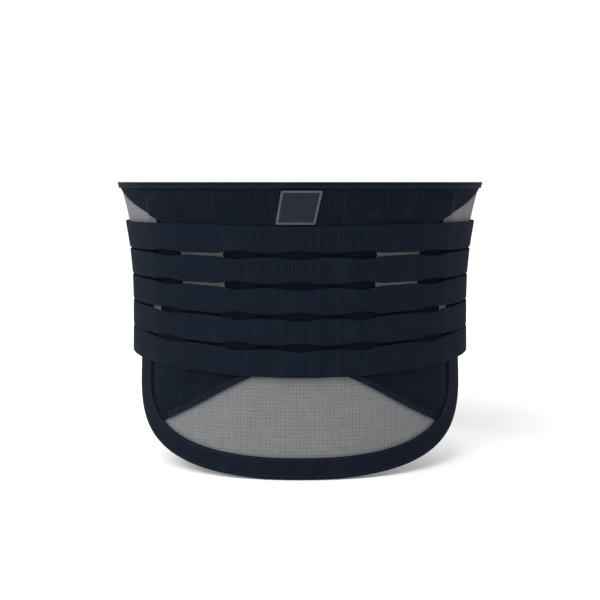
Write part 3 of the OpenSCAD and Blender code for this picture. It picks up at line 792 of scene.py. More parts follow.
def shader_group(name, inputs, outputs):
    tree = bpy.data.node_groups.new(name, "ShaderNodeTree")
    for label, kind, value in inputs:
        socket = tree.interface.new_socket(label, in_out="INPUT", socket_type="NodeSocket" + kind)
        if value is not None:
            socket.default_value = value
    for label in outputs:
        tree.interface.new_socket(label, in_out="OUTPUT", socket_type="NodeSocketFloat")
    return tree, tree.nodes.new("NodeGroupInput").outputs, tree.nodes.new("NodeGroupOutput").inputs


def noise(tree, place, scale, detail, inputs=None, settings=None):
    inputs = {"Vector": place, "Scale": scale, "Detail": detail, **(inputs or {})}
    return wire(tree, "ShaderNodeTexNoise", settings, inputs).outputs


def flat_noise(tree, place, scale, detail):
    return noise(tree, place, scale, detail, settings={"noise_dimensions": "2D"})


def stretched(tree, place, scale):
    return wire(tree, "ShaderNodeMapping", inputs={"Vector": place, "Scale": scale}).outputs[0]


def smooth_step(tree, value, start, end):
    """0 at the start, 1 at the end, and smooth between them."""
    return wire(tree, "ShaderNodeMapRange", {"interpolation_type": "SMOOTHSTEP"},
                {"Value": value, "From Min": start, "From Max": end}).outputs[0]


def plain_weave():
    """Threads that pass over and under each other. Place is in metres."""
    tree, given, made = shader_group(
        "plain_weave",
        [("Place", "Vector", None), ("Threads U", "Float", 1000.0), ("Threads V", "Float", 1000.0)],
        ["Height", "Thread"],
    )
    parts = wire(tree, "ShaderNodeSeparateXYZ", inputs={0: given["Place"]}).outputs
    waves = [math_node(tree, "SINE", product(tree, parts[k], given[name], math.pi))
             for k, name in enumerate(("Threads U", "Threads V"))]
    over = product(tree, *waves)
    tree.links.new(math_node(tree, "MULTIPLY_ADD", over, 0.5, 0.5), made["Height"])
    tree.links.new(product(tree, *(math_node(tree, "ABSOLUTE", wave) for wave in waves)), made["Thread"])
    return tree


def ridges():
    """Parallel ridges at an angle, such as twill or ribs. Place is in metres."""
    tree, given, made = shader_group(
        "ridges", [("Place", "Vector", None), ("Pitch", "Float", 0.001), ("Angle", "Float", 0.0)], ["Height"]
    )
    turned = wire(tree, "ShaderNodeVectorRotate", {"rotation_type": "Z_AXIS"},
                  {"Vector": given["Place"], "Angle": given["Angle"]})
    u = wire(tree, "ShaderNodeSeparateXYZ", inputs={0: turned.outputs[0]}).outputs[0]
    tree.links.new(wave_node(tree, "SINE", math_node(tree, "DIVIDE", u, given["Pitch"])), made["Height"])
    return tree


def open_grid():
    """The grooves between the loops of a spacer mesh, the hole in each loop, and streaks along both."""
    tree, given, made = shader_group(
        "open_grid", [("Place", "Vector", None), ("Pitch", "Float", 0.0028), ("Waver", "Float", 0.12)],
        ["Groove", "Hole", "Streak"],
    )
    place = given["Place"]
    shift = vector_node(tree, "SUBTRACT", flat_noise(tree, place, 120.0, 1.0)["Color"], 1, (0.5, 0.5, 0.5))
    shift = vector_node(tree, "SCALE", shift, "Scale", product(tree, given["Waver"], given["Pitch"]))
    at = vector_node(tree, "ADD", place, 1, shift)
    parts = wire(tree, "ShaderNodeSeparateXYZ", inputs={0: at}).outputs
    far = [math_node(tree, "PINGPONG", math_node(tree, "DIVIDE", parts[k], given["Pitch"]), 0.5)
           for k in (0, 1)]  # 0 in the pit's middle, 0.5 between pits
    lines = [smooth_step(tree, f, 0.16, 0.0) for f in far]
    share = wire(tree, "ShaderNodeMapRange", inputs={
        "Value": flat_noise(tree, place, 210.0, 2.0)["Fac"],
        "From Min": 0.38, "From Max": 0.62, "To Min": 0.15, "To Max": 1.0}).outputs[0]
    tree.links.new(product(tree, math_node(tree, "MAXIMUM", *lines), share), made["Groove"])
    streaks = [flat_noise(tree, stretched(tree, place, scale), 1.0, 2.0)["Fac"]
               for scale in ((620.0, 42.0, 1.0), (42.0, 620.0, 1.0))]
    tree.links.new(product(tree, math_node(tree, "ADD", *streaks), 0.5), made["Streak"])
    squares = [product(tree, f, f) for f in far]
    from_pit = math_node(tree, "SQRT", math_node(tree, "ADD", *squares))
    tree.links.new(smooth_step(tree, from_pit, 0.26, 0.1), made["Hole"])
    return tree


def use_marks():
    """Slow changes of shade, fine fuzz and rubbed places. Place is in metres."""
    tree, given, made = shader_group(
        "use_marks", [("Place", "Vector", None), ("Patch", "Float", 18.0), ("Fuzz", "Float", 900.0)],
        ["Shade", "Fuzz", "Rubbed"],
    )
    place = given["Place"]
    tree.links.new(noise(tree, place, given["Patch"], 3.0, {"Roughness": 0.6})["Fac"], made["Shade"])
    tree.links.new(noise(tree, place, given["Fuzz"], 2.0)["Fac"], made["Fuzz"])
    tree.links.new(smooth_step(tree, noise(tree, place, 55.0, 4.0)["Fac"], 0.56, 0.72), made["Rubbed"])
    return tree


def group_node(tree, make, inputs):
    """The outputs of a shader group, which is built the first time that it is used."""
    group = bpy.data.node_groups.get(make.__name__) or make()
    return wire(tree, "ShaderNodeGroup", {"node_tree": group}, inputs).outputs


def mixed(tree, share, a, b):
    """A colour between a and b."""
    a, b = (v if isinstance(v, bpy.types.NodeSocket) else (*v, 1) for v in (a, b))
    return wire(tree, "ShaderNodeMix", {"data_type": "RGBA"}, {0: share, 6: a, 7: b}).outputs[2]


def ranged(tree, value, low, high):
    return wire(tree, "ShaderNodeMapRange", inputs={"Value": value, "To Min": low, "To Max": high}).outputs[0]


def scaled(value, factor):
    """A colour made darker or paler."""
    return tuple(min(1.0, c * factor) for c in value)


class Finish:
    """A material under way: its nodes, its places, and what feeds its shader."""

    def __init__(self, name, rough, specular=0.2, sheen=0.0, sheen_rough=0.4, tint=(0.5, 0.6, 0.8)):
        self.material = bpy.data.materials.new(name)
        self.material.use_nodes = True
        self.tree = self.material.node_tree
        self.shader = self.tree.nodes["Principled BSDF"]
        for name, value in (("Roughness", rough), ("Specular IOR Level", specular), ("Sheen Weight", sheen),
                            ("Sheen Roughness", sheen_rough), ("Sheen Tint", (*tint, 1))):
            self.shader.inputs[name].default_value = value
        self.cloth = wire(self.tree, "ShaderNodeUVMap", {"uv_map": UV}).outputs[0]
        self.solid = wire(self.tree, "ShaderNodeTexCoord").outputs["Object"]
        self.marks = group_node(self.tree, use_marks, {"Place": self.solid})

    def weave(self, across, along):
        """A plain weave with so many threads to a metre, across and along."""
        inputs = {"Place": self.cloth, "Threads U": across, "Threads V": along}
        return group_node(self.tree, plain_weave, inputs)

    def ridged(self, pitch, angle=0.0, place=None):
        inputs = {"Place": place or self.cloth, "Pitch": pitch, "Angle": angle}
        return group_node(self.tree, ridges, inputs)[0]

    def painted(self, name):
        """A mask painted on the piece's points."""
        return wire(self.tree, "ShaderNodeAttribute", {"attribute_name": name}).outputs["Fac"]

    def blotched(self, value, low, high, mask=None):
        """A colour that changes slowly between two factors of it."""
        return mixed(self.tree, mask or self.marks["Shade"], scaled(value, low), scaled(value, high))

    def over(self, base, mask, most, top, least=0.0):
        """The base with another colour over it, most where the mask is 1 and least where it is 0."""
        return mixed(self.tree, ranged(self.tree, mask, least, most), base, top)

    def colour(self, socket):
        self.tree.links.new(socket, self.shader.inputs["Base Color"])

    def rough(self, low, high, mask=None):
        self.tree.links.new(ranged(self.tree, mask or self.marks["Shade"], low, high),
                            self.shader.inputs["Roughness"])

    def bump(self, *heights):
        """Heights are (socket, distance in metres)."""
        normal = None
        for height, distance in heights:
            inputs = {"Height": height, "Distance": distance, "Strength": 1.0}
            node = wire(self.tree, "ShaderNodeBump", inputs=inputs)
            if normal is not None:
                self.tree.links.new(normal, node.inputs["Normal"])
            normal = node.outputs[0]
        self.tree.links.new(normal, self.shader.inputs["Normal"])


def shades():
    return bpy.context.scene.brace_colours


def spacer_mesh_finish():
    """Grey spacer mesh: grooves between its loops, and streaks; painted light behind the straps, which makes
    it paler there.
    """
    f, c = Finish("spacer_mesh", 0.85, 0.15, 0.12), shades()
    pitch = bpy.context.scene.brace_sizes.mesh_pitch
    grid = group_node(f.tree, open_grid, {"Place": f.cloth, "Pitch": pitch})
    weave = f.weave(1450.0, 1450.0)
    base = f.blotched(c.spacer, 0.9, 1.14, ranged(f.tree, f.marks["Shade"], 0.25, 0.75))
    streak = wire(f.tree, "ShaderNodeMapRange",
                  inputs={"Value": grid["Streak"], "From Min": 0.4, "From Max": 0.6}).outputs[0]
    base = f.over(base, streak, 0.0, scaled(c.spacer_groove, 1.1), least=0.3)
    base = f.over(base, grid["Groove"], 0.62, c.spacer_groove)
    base = f.over(base, grid["Hole"], 0.35, scaled(c.spacer_groove, 0.6))
    # painted light: the mesh behind the straps is paler, lifting it out of the straps' shade
    base = f.over(base, f.painted("covered"), 0.9, scaled(c.spacer, 1.55))
    base = f.over(base, f.painted("shaded"), 0.7, c.hem_shade)
    f.colour(f.over(base, weave["Thread"], 0.0, scaled(c.spacer_groove, 0.8), least=0.25))
    f.rough(0.78, 0.92)
    f.bump((weave["Height"], 0.00012), (f.marks["Fuzz"], 0.00008))
    return f.material


def woven_finish(name, value, threads, rough, twill=None, bump=0.00012):
    """A dark woven cloth or tape, plain or twilled; darker behind the straps, a painted shade."""
    f = Finish(name, rough, 0.06, 0.02)
    if twill:
        height = thread = f.ridged(twill, math.radians(38))
    else:
        weave = f.weave(threads, threads)
        height, thread = weave["Height"], weave["Thread"]
    base = f.blotched(value, 0.8, 1.2)
    base = mixed(f.tree, ranged(f.tree, thread, 0.0, 0.7), scaled(value, 0.62), base)
    base = f.over(base, f.marks["Rubbed"], 0.35, scaled(value, 1.75))
    # painted shade: darker where the cloth lies behind the straps
    f.colour(f.over(base, f.painted("covered"), 0.85, shades().unfaded))
    f.rough(rough - 0.06, rough + 0.06)
    f.bump((height, bump), (f.marks["Fuzz"], bump * 0.6))
    return f.material


def elastic_finish():
    """Knitted elastic: fine cords across the strap, with painted shade that darkens the grooves between the
    ribs.
    """
    f, value = Finish("ribbed_elastic", 0.75, 0.06, 0.03, 0.4), shades().elastic
    pitch = bpy.context.scene.brace_sizes.rib_pitch
    rib = f.ridged(pitch, place=vector_node(f.tree, "ADD", f.cloth, 1, (pitch / 4, 0, 0)))
    cord = f.ridged(pitch / 5)
    knit = f.ridged(0.0007, math.pi / 2)
    base = f.blotched(value, 0.82, 1.18)
    # painted shade: darker in the grooves between the raised ribs
    base = mixed(f.tree, ranged(f.tree, rib, 0.0, 1.0), scaled(value, 0.45), base)
    base = f.over(base, cord, 0.3, scaled(value, 1.7))
    f.colour(f.over(base, f.marks["Rubbed"], 0.25, scaled(value, 1.8)))
    f.rough(0.64, 0.8)
    f.bump((cord, 0.00008), (knit, 0.00007), (f.marks["Fuzz"], 0.00005))
    return f.material


def loop_finish():
    """Brushed loop cloth: a short nap of curls."""
    f, value = Finish("brushed_loop_cloth", 0.9, 0.08, 0.16, 0.55, (0.75, 0.8, 0.9)), shades().loop
    curls = wire(f.tree, "ShaderNodeTexVoronoi", inputs={"Vector": f.solid, "Scale": 900.0})
    nap = noise(f.tree, f.solid, 320.0, 4.0)["Fac"]
    base = f.blotched(value, 0.55, 1.5, nap)
    f.colour(f.over(base, f.marks["Rubbed"], 0.5, scaled(value, 1.9)))
    f.rough(0.84, 0.96)
    f.bump((curls.outputs["Distance"], 0.0004), (nap, 0.0003))
    return f.material


def hook_finish():
    """Rows of stiff hooks."""
    f, value = Finish("hook_tape", 0.5, 0.35), shades().hook
    rows = f.weave(700.0, 900.0)["Thread"]
    base = f.blotched(value, 0.5, 1.6, rows)
    f.colour(f.over(base, f.marks["Rubbed"], 0.5, scaled(value, 2.2)))
    f.rough(0.42, 0.6)
    f.bump((rows, 0.0005), (f.marks["Fuzz"], 0.00005))
    return f.material


def rubber_finish(name, value, rough):
    """Soft moulded rubber with a fine grain."""
    f = Finish(name, rough, 0.14)
    grain = noise(f.tree, f.solid, 1500.0, 3.0)["Fac"]
    base = f.blotched(value, 0.88, 1.12)
    f.colour(f.over(base, f.marks["Rubbed"], 0.3, scaled(value, 1.6)))
    f.rough(rough - 0.07, rough + 0.07)
    f.bump((grain, 0.00006))
    return f.material


def steel_finish():
    """Spring steel, brushed along its length."""
    f = Finish("brushed_steel", 0.35, 0.5)
    f.shader.inputs["Metallic"].default_value = 1.0
    lines = noise(f.tree, stretched(f.tree, f.solid, (3000.0, 3000.0, 60.0)), 1.0, 3.0)["Fac"]
    f.colour(f.blotched(shades().steel, 0.8, 1.1, lines))
    f.rough(0.28, 0.45, lines)
    f.bump((lines, 0.00002))
    return f.material


def thread_finish(name="sewing_thread", factor=1.0):
    """Twisted sewing thread."""
    f = Finish(name, 0.6, 0.3, 0.1)
    twist = f.ridged(0.0005, 0.7, f.solid)
    f.colour(f.blotched(shades().thread, 0.7 * factor, 1.3 * factor, twist))
    f.rough(0.5, 0.7)
    f.bump((twist, 0.00005))
    return f.material


FINISHES = {
    "grey_mesh": spacer_mesh_finish,
    "perforated_cloth": lambda: woven_finish("perforated_cloth", shades().panel, 1300.0, 0.8),
    "loop_cloth": loop_finish,
    "binding": lambda: woven_finish("twill_binding", shades().binding, 0, 0.74, twill=0.0009, bump=0.0001),
    "elastic": elastic_finish,
    "pocket_tape": lambda: woven_finish("pocket_tape", shades().pocket, 1100.0, 0.8),
    "stay_steel": steel_finish,
    "badge": lambda: rubber_finish("soft_badge", shades().badge, 0.55),
    "badge_border": lambda: rubber_finish("badge_border", shades().badge_border, 0.5),
    "hook_tape": hook_finish,
    "tab_cloth": lambda: woven_finish("tab_cloth", shades().tab, 900.0, 0.76, bump=0.0002),
    "grip_tape": lambda: woven_finish("grip_tape", shades().grip, 0, 0.7, twill=0.0012, bump=0.0002),
    "thread": thread_finish,
    "bright_thread": lambda: thread_finish("bright_sewing_thread", 2.6),
}


def finish(slot):
    """The material of a slot, built the first time that it is asked for."""
    key = f"brace_slot_{slot}"
    made = bpy.context.scene.get(key)
    if not made:
        made = FINISHES[slot]()
        bpy.context.scene[key] = made
    return made


def paint(obj, slot):
    obj.data.materials.clear()
    obj.data.materials.append(finish(slot))
    return obj


# Baking, hiding, dressing and marking pieces


def bend_at_seam(obj):
    """Bakes the piece's place into its points; nothing bends at the side seam."""
    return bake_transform(obj)


def bend_at_tab(brace, obj, side):
    """Bakes the piece's place into its points; nothing bends at the tab's root."""
    start, end = (brace.place(SIDES[side] * (brace.tab_start + on), 0, brace.tab_in) for on in (-0.5, 9))
    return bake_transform(obj)


def stands_for(node):
    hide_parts(node)


def dressed(obj, slot, degrees=50):
    """The piece with its material, and with its creases kept sharp."""
    paint(obj, slot)
    sharpen(obj, degrees)
    return obj


def mark_covered(brace, obj):
    """Marks the outer face of a cloth behind the straps, and gives its points' places and that face."""
    at, z, depth = tape_places(brace, obj)
    outside = depth > brace.mesh_t * 0.6
    mark(obj, "covered", brace.covered(at, z) * outside)
    return at, z, outside


def declare(obj, s, low, high):
    """Gives the cloth back as it is; nothing is cut."""
    low, high = np.broadcast_to(low, s.shape), np.broadcast_to(high, s.shape)
    return obj


# Pieces


def spacer_mesh(brace, name, s, low, high, lift=flat):
    """A sheet of spacer mesh with pits in both faces."""
    obj = ply(brace, name, s, low, high, lambda at, z: lift(at), lambda at, z: lift(at) + brace.mesh_t,
              step=brace.mesh_pitch / 2, rim=0.5)
    at, z, _ = tape_places(brace, obj)
    mark(obj, "along", at / 1000)
    mark(obj, "up", z / 1000)
    size = bpy.context.scene.brace_sizes
    with_nodes(obj, pits_tree, {
        "Pitch": size.mesh_pitch, "Depth": size.pit_depth, "Material": finish("grey_mesh")})
    unmark(obj, "along", "up")
    sharpen(obj, 60)
    return obj


def lattice(low, high, step):
    """Columns on a lattice, with the two ends."""
    inner = np.arange(math.ceil(low / step + 0.3), math.floor(high / step - 0.3) + 1) * step
    return np.concatenate([[low], inner, [high]])


def perforated_panel(brace, name, low_at, high_at, from_s, to_s, keep_low, keep_high):
    """A perforated panel: one layer on a lattice, cut off at the outline, pierced and thickened."""
    step = brace.hole_pitch / 2
    s = lattice(from_s, to_s, step)
    low, high = np.broadcast_to(low_at(s), s.shape), np.broadcast_to(high_at(s), s.shape)
    lines = np.arange(math.floor(low.min() / step), math.ceil(high.max() / step) + 1) * step
    z = np.clip(lines[None, :], low[:, None], high[:, None])
    at = np.broadcast_to(s[:, None], z.shape)
    depth = brace.panel_in + brace.panel_t + brace.raised(at, z)
    n, m = z.shape
    i, j = (a.ravel() for a in np.meshgrid(np.arange(n - 1), np.arange(m - 1), indexing="ij"))
    heights = z[i, j + 1] - z[i, j], z[i + 1, j + 1] - z[i + 1, j]
    tall, used = np.minimum(*heights), np.maximum(*heights) > 1e-4
    mid_s, mid_z = (s[i] + s[i + 1]) / 2, (z[i, j] + z[i + 1, j + 1]) / 2
    column = np.round(mid_s / step - 0.5).astype(int)
    row = np.round(mid_z / step - 0.5).astype(int)
    whole = (tall > step * 0.98) & (np.abs(s[i + 1] - s[i] - step) < 0.01)
    inside = (mid_z > np.interp(mid_s, s, low) + keep_low) & (mid_z < np.interp(mid_s, s, high) - keep_high)
    pierced = whole & inside & ((column + row) % 2 == 0)
    i, j, pierced = i[used], j[used], pierced[used]
    faces = np.stack([i * m + j, (i + 1) * m + j, (i + 1) * m + j + 1, i * m + j + 1], 1)
    places = np.stack([at, z], -1) / 1000
    obj = new_object(name, brace.place(at, z, depth), faces.tolist(), corners(places, i, j), clean=False)
    mark(obj, "pierced", pierced, "BOOLEAN", "FACE")
    cleaned(obj.data)
    add_nodes(obj, perforations_tree, {
        "Hole share": brace.hole_share, "Material": finish("perforated_cloth")})
    thick = obj.modifiers.new("thickness", "SOLIDIFY")
    thick.thickness, thick.offset, thick.use_even_offset = brace.panel_t / 1000, -1, True
    settled(obj)
    unmark(obj, "pierced")
    sharpen(obj, 40)
    declare(obj, s, low, high)
    return obj


def strap(brace, name, k, from_s, to_s, sink):
    """One length of ribbed elastic."""
    pitch = brace.rib_pitch / 6
    s = np.linspace(from_s, to_s, int(round(abs(to_s - from_s) / pitch)) + 1)
    low, high = brace.strap_edges(k, s)

    def aside(at, z):
        """-1 at the low edge and 1 at the high edge."""
        low, high = brace.strap_edges(k, at)
        return (2 * z - low - high) / (high - low)

    half = np.array([0.35, 0.7, 0.9, 0.965, 1])
    rows = (1 + np.concatenate([-half[::-1], [0], half])) / 2
    rib_room, crown = 0.18, 0.12  # what is left for the ribs, and how much lower the edges are

    def outer(at, z):
        return brace.strap_out - rib_room - crown * aside(at, z) ** 2 - sink(at)

    obj = ply(brace, name, s, low, high, lambda at, z: brace.strap_in - sink(at), outer, rows=rows, rim=0.3,
              across=lambda at, z: z - brace.strap_z(k, at))
    at, z, depth = tape_places(brace, obj)
    mark(obj, "along", at / 1000)
    middle = (brace.strap_in + brace.strap_out) / 2 - sink(at)
    mark(obj, "face", clip((1.02 - np.abs(aside(at, z))) / 0.1) * (depth > middle))
    size = bpy.context.scene.brace_sizes
    with_nodes(obj, ribs_tree, {
        "Pitch": size.rib_pitch, "Height": size.rib_height, "Material": finish("elastic")})
    unmark(obj, "along", "face")
    sharpen(obj, 55)
    return obj


def stitch_row(s, z, depth):
    """A row of stitches, from any mix of numbers and arrays."""
    return np.column_stack(np.broadcast_arrays(s, z, depth)).astype(float)


def row_along(path, distance, depth, lift=flat):
    """A row of stitches beside a tape's outline."""
    at = path + left_of(path) * distance
    return stitch_row(at[:, 0], at[:, 1], depth + lift(path[:, 0]))


def stitch_rows(brace, name, rows, slot="thread"):
    """Stitches along rows of (s, z, depth) points, as one piece."""
    points, edges, outs = [], [], []
    for s, z, depth in (row.T for row in rows):
        start = len(points)
        points += brace.place(s, z, depth).tolist()
        outs.append(brace.outward(s, z))
        edges += [(start + i, start + i + 1) for i in range(len(s) - 1)]
    mesh = bpy.data.meshes.new(name)
    mesh.from_pydata(points, edges, [])
    obj = link(name, mesh)
    mark(obj, "outward", np.concatenate(outs).astype(np.float32), "FLOAT_VECTOR")
    size = bpy.context.scene.brace_sizes
    with_nodes(obj, stitches_tree, {
        "Pitch": size.stitch_pitch, "Length": size.stitch_length, "Thread": size.thread_width,
        "Unevenness": 0.06, "Seed": 5, "Material": finish(slot)})
    unmark(obj, "outward")
    obj.data.shade_smooth()
    if not len(obj.data.polygons):
        raise RuntimeError(f"{name} has no stitches")
    return obj


def top_path(brace):
    """The top edge of the back, from the right to the left."""
    n = int(brace.back_end)
    return np.stack([np.linspace(brace.back_end, -brace.back_end, n), np.full(n, brace.top_height)], 1)


def hem_path(brace, beyond, n):
    """The hem of the mesh window, ending so far beyond the window."""
    s = np.linspace(-brace.window_half - beyond, brace.window_half + beyond, n)
    return np.stack([s, brace.window_z(s)], 1)


def wing_path(brace, side):
    """The wing's outline from the low end at the side seam, round the front, to the top end."""
    end, r = brace.wing_end[side], brace.wing_corner
    along = np.arange(brace.side_seam, end - r, 2.0)
    path = np.concatenate([
        np.stack([along, brace.wing_low(along)], 1),
        arc(end - r, float(brace.wing_low(end)) + r, r, -90, 0, 5),
        arc(end - r, float(brace.wing_top(end)) - r, r, 0, 90, 5),
        np.stack([along, brace.wing_top(along)], 1)[::-1],
    ])
    return mirrored(resampled(path, 2.0), side)


def wing_binding_share(brace, path):
    """The wing binding's width narrows to the top binding's at the side seam."""
    near = 1 - ease((np.abs(path[:, 0]) - brace.side_seam) / 40)
    return 1 - (1 - brace.top_binding_w / brace.wing_binding_w) * near * (path[:, 1] > 0)


class BRACE_OT_spacer_mesh(bpy.types.Operator):
    """The grey spacer mesh of the back"""

    bl_idname = "brace.spacer_mesh"
    bl_label = "Back spacer mesh"

    def execute(self, context):
        brace = Brace()
        s = lattice(-brace.back_end, brace.back_end, brace.mesh_pitch / 2)
        notch = brace.flap_half_width - brace.cloth_inset
        s = np.unique(np.concatenate([s, [-notch - 1, -notch, notch, notch + 1]]))
        low, high = brace.back_low(s, brace.cloth_inset), brace.top_height - brace.cloth_inset
        obj = spacer_mesh(brace, "spacer_mesh", s, low, high)
        mark_under_hem(brace, obj, *mark_covered(brace, obj))
        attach(obj, "root")
        declare(obj, s, low, high)
        stands_for("back_mesh")
        return {"FINISHED"}


def mark_under_hem(brace, obj, at, z, outside):
    """Marks the band of mesh in the shade of the window's hem, apart from the hem's middle."""
    band_from, band_w, over_hem = 0.6, 3.2, 1.5
    middle, middle_ease = 38, 12
    below = brace.window_z(at) - z
    band = (1 - ease((below - band_from) / band_w)) * (below > -over_hem) * outside
    mark(obj, "shaded", band * ease((np.abs(at) - middle) / middle_ease))


class BRACE_OT_panels(bpy.types.Operator):
    """The perforated panels of the back, above, behind and below the straps"""

    bl_idname = "brace.panels"
    bl_label = "Perforated panels"

    def execute(self, context):
        brace = Brace()
        rise_to, centre = brace.panel_rise_to, brace.centre_half
        half = brace.flap_half_width - brace.cloth_inset - 1

        def top(s):
            return brace.top_height - brace.cloth_inset

        def lower_low(s):
            return np.maximum(brace.window_z(s), brace.back_low(s, brace.bottom_binding_w / 2))

        def lower_high(s):
            """The waist line, and a step down at the sides."""
            return np.interp(np.abs(s), [103, 107], [0, -18]) - 0.2

        for name, low, high, from_s, to_s, keep_low, keep_high in (
            ("upper_panel", brace.upper_low, top, -rise_to, rise_to, 3.0, 4.0),
            ("centre_panel", flat, lambda s: flat(s) + brace.centre_top, -centre, centre, 1.0, 1.0),
            ("lower_panel", lower_low, lower_high, -half, half, 2.0, 1.5),
        ):
            obj = perforated_panel(brace, f"{name}_cloth", low, high, from_s, to_s, keep_low, keep_high)
            mark_covered(brace, obj)
            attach(obj, "root")
            stands_for(name)
        return {"FINISHED"}


class BRACE_OT_stays(bpy.types.Operator):
    """The pockets of the five stays, and the stays' steel"""

    bl_idname = "brace.stays"
    bl_label = "Stay pockets and stays"

    def execute(self, context):
        brace = Brace()
        for k, (p, w) in enumerate(brace.pockets, 1):
            s, low, high, thick = pocket_tape(brace, p, w)
            obj = ply(brace, f"pocket_tape_{k}", s, low, high, brace.panel_in,
                      lambda at, z, s=s, thick=thick: brace.panel_in + np.interp(at, s, thick),
                      rows=70, rim=-0.7)
            mark_covered(brace, obj)
            dressed(obj, "pocket_tape")
            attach(obj, "root")
            stands_for(f"stay_pocket_{k}")
            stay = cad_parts[f"stay_{k}"]
            stay.data.materials.clear()
            stay.data.materials.append(finish("stay_steel"))
        return {"FINISHED"}


def pocket_tape(brace, p, w):
    """A pocket tape's columns, edges and thickness. An outer one goes on to the side seam as a facing."""
    s = np.linspace(p - w / 2, p + w / 2, int(w / 1.5) + 1)
    out, cut = abs(p) + w / 2, brace.pocket_cut
    if abs(p) > brace.window_half / 2:
        facing = np.arange(out + 2, brace.back_end - 0.3, 2)
        more = np.concatenate([[cut - 0.2, cut + 0.2, out + 0.4], facing])
        s = np.sort(np.concatenate([s, more * np.sign(p)]))
    d = np.abs(s)
    facing_low = np.where(d < brace.facing_step, brace.facing_low, brace.side_low + brace.facing_over)
    low = np.where(d > out, facing_low, brace.pocket_low(p))
    high = np.where(d > cut, brace.behind_strap, brace.pocket_top)
    return s, low, high, np.where(d > out, brace.facing_t, brace.pocket_depth)


class BRACE_OT_bindings(bpy.types.Operator):
    """The top binding, the bottom binding and the hem of the mesh window"""

    bl_idname = "brace.bindings"
    bl_label = "Bindings and hem"

    def execute(self, context):
        brace = Brace()
        inner, outer, t = brace.binding_in, brace.binding_out, brace.binding_t
        hem = slab(-0.4, brace.hem_w, outer - 0.35, outer + brace.panel_t)
        for name, path, section, node in (
            ("top_binding_tape", top_path(brace), folded(brace.top_binding_w, inner, outer, t, 4),
             "top_binding"),
            ("bottom_binding_tape", brace.flap_outline(), folded(brace.bottom_binding_w, inner, outer, t, 10),
             "bottom_binding"),
            ("window_hem_tape", hem_path(brace, 2, 140), hem, "window_hem"),
        ):
            obj = dressed(tape(brace, name, path, section), "binding", 55)
            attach(obj, "root")
            stands_for(node)
        return {"FINISHED"}


class BRACE_OT_back_straps(bpy.types.Operator):
    """The five ribbed elastic straps across the back"""

    bl_idname = "brace.back_straps"
    bl_label = "Back straps"

    def execute(self, context):
        brace = Brace()
        for k in STRAPS:
            obj = strap(brace, f"elastic_back_{k}", k, -brace.back_end, brace.back_end, brace.sunk)
            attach(obj, "root")
            stands_for(f"back_strap_{k}")
        return {"FINISHED"}


class BRACE_OT_badge(bpy.types.Operator):
    """The plain badge, without any mark, and its border"""

    bl_idname = "brace.badge"
    bl_label = "Badge"

    def execute(self, context):
        brace = Brace()
        base, lean = brace.badge_base, brace.badge_lean
        half_w, half_h = brace.badge_w / 2, brace.badge_h / 2
        inset = brace.badge_border_w * 0.6
        left = brace.badge_s - lean * half_h
        s = np.linspace(left - half_w + inset, left + half_w - inset, 40)
        low, high = brace.badge_z - half_h + inset, brace.badge_z + half_h - inset
        plate = ply(brace, "badge_plate", s, low, high, base, base + brace.badge_t, rows=36, lean=lean, rim=0)
        r = 1.0
        ring = np.concatenate([
            arc(right * (half_w - r), up * (half_h - r), r, start, start + 90, 15)
            for right, up, start in ((1, -1, -90), (1, 1, 0), (-1, 1, 90), (-1, -1, 180))])
        ring = resampled(np.concatenate([ring, ring[:1]]), 1.0)[:-1]
        path = ring + np.stack([brace.badge_s + lean * ring[:, 1], np.full(len(ring), brace.badge_z)], 1)
        section = slab(0, brace.badge_border_w, base, base + brace.badge_t + brace.badge_rim, 0.35, 3)
        border = tape(brace, "badge_border_rim", path, section, closed=True)
        for obj, slot in ((plate, "badge"), (border, "badge_border")):
            dressed(obj, slot)
            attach(obj, "root")
            stands_for(slot)
        return {"FINISHED"}


def wing_cloth_edges(brace, side, s):
    """The low and the high edge of a wing's cloth, inside its binding."""
    cut = brace.corner_z(s, brace.wing_end[side], brace.cloth_inset)
    return brace.wing_low(s) + cut, brace.wing_top(s) - cut


def wing_mesh(brace, side):
    end = brace.wing_end[side] - brace.cloth_inset
    s = np.sort(SIDES[side] * lattice(brace.side_seam, end, brace.mesh_pitch / 2))
    low, high = wing_cloth_edges(brace, side, s)
    obj = spacer_mesh(brace, f"{side}_wing_spacer", s, low, high, brace.lift(side))
    declare(obj, s, low, high)
    bend_at_seam(obj)
    stands_for(f"{side}_wing_mesh")


def wing_loop_cloth(brace, side):
    """Loop cloth over the whole wing. It starts low, behind the straps, and leaves a wedge of mesh bare."""
    end, lift = brace.wing_end[side] - brace.cloth_inset, brace.lift(side)
    bare_to = brace.side_seam + 15
    s = np.sort(SIDES[side] * np.concatenate([
        lattice(brace.side_seam + 0.5, bare_to - 0.3, 2.0), lattice(bare_to, end, 2.0)]))
    low, high = wing_cloth_edges(brace, side, s)
    high = np.where(np.abs(s) < bare_to - 0.1, brace.behind_strap, high)

    def inner(at, z):
        return lift(at) + brace.panel_in

    def outer(at, z):
        ripple = 0.12 * np.sin(at / 17.0 + z / 31.0) * np.sin(z / 13.0)
        return inner(at, z) + brace.panel_t + ripple

    obj = dressed(ply(brace, f"{side}_wing_loop", s, low, high, inner, outer, step=2.0), "loop_cloth")
    declare(obj, s, low, high)
    bend_at_seam(obj)
    stands_for(f"{side}_wing_panel")


def wing_edge(brace, side):
    path = wing_path(brace, side)
    section = folded(brace.wing_binding_w, brace.binding_in, brace.binding_out, brace.binding_t)
    share = wing_binding_share(brace, path)
    obj = tape(brace, f"{side}_wing_edge", path, section, brace.lift(side), share=share)
    dressed(obj, "binding", 55)
    bend_at_seam(obj)
    stands_for(f"{side}_wing_binding")


def wing_straps(brace, side):
    for k in STRAPS:
        ends = sorted(SIDES[side] * at for at in (brace.side_seam, brace.tab_start))
        obj = strap(brace, f"{side}_elastic_{k}", k, *ends, lambda at: brace.strap_sink + flat(at))
        bend_at_seam(obj)
        stands_for(f"{side}_strap_{k}")


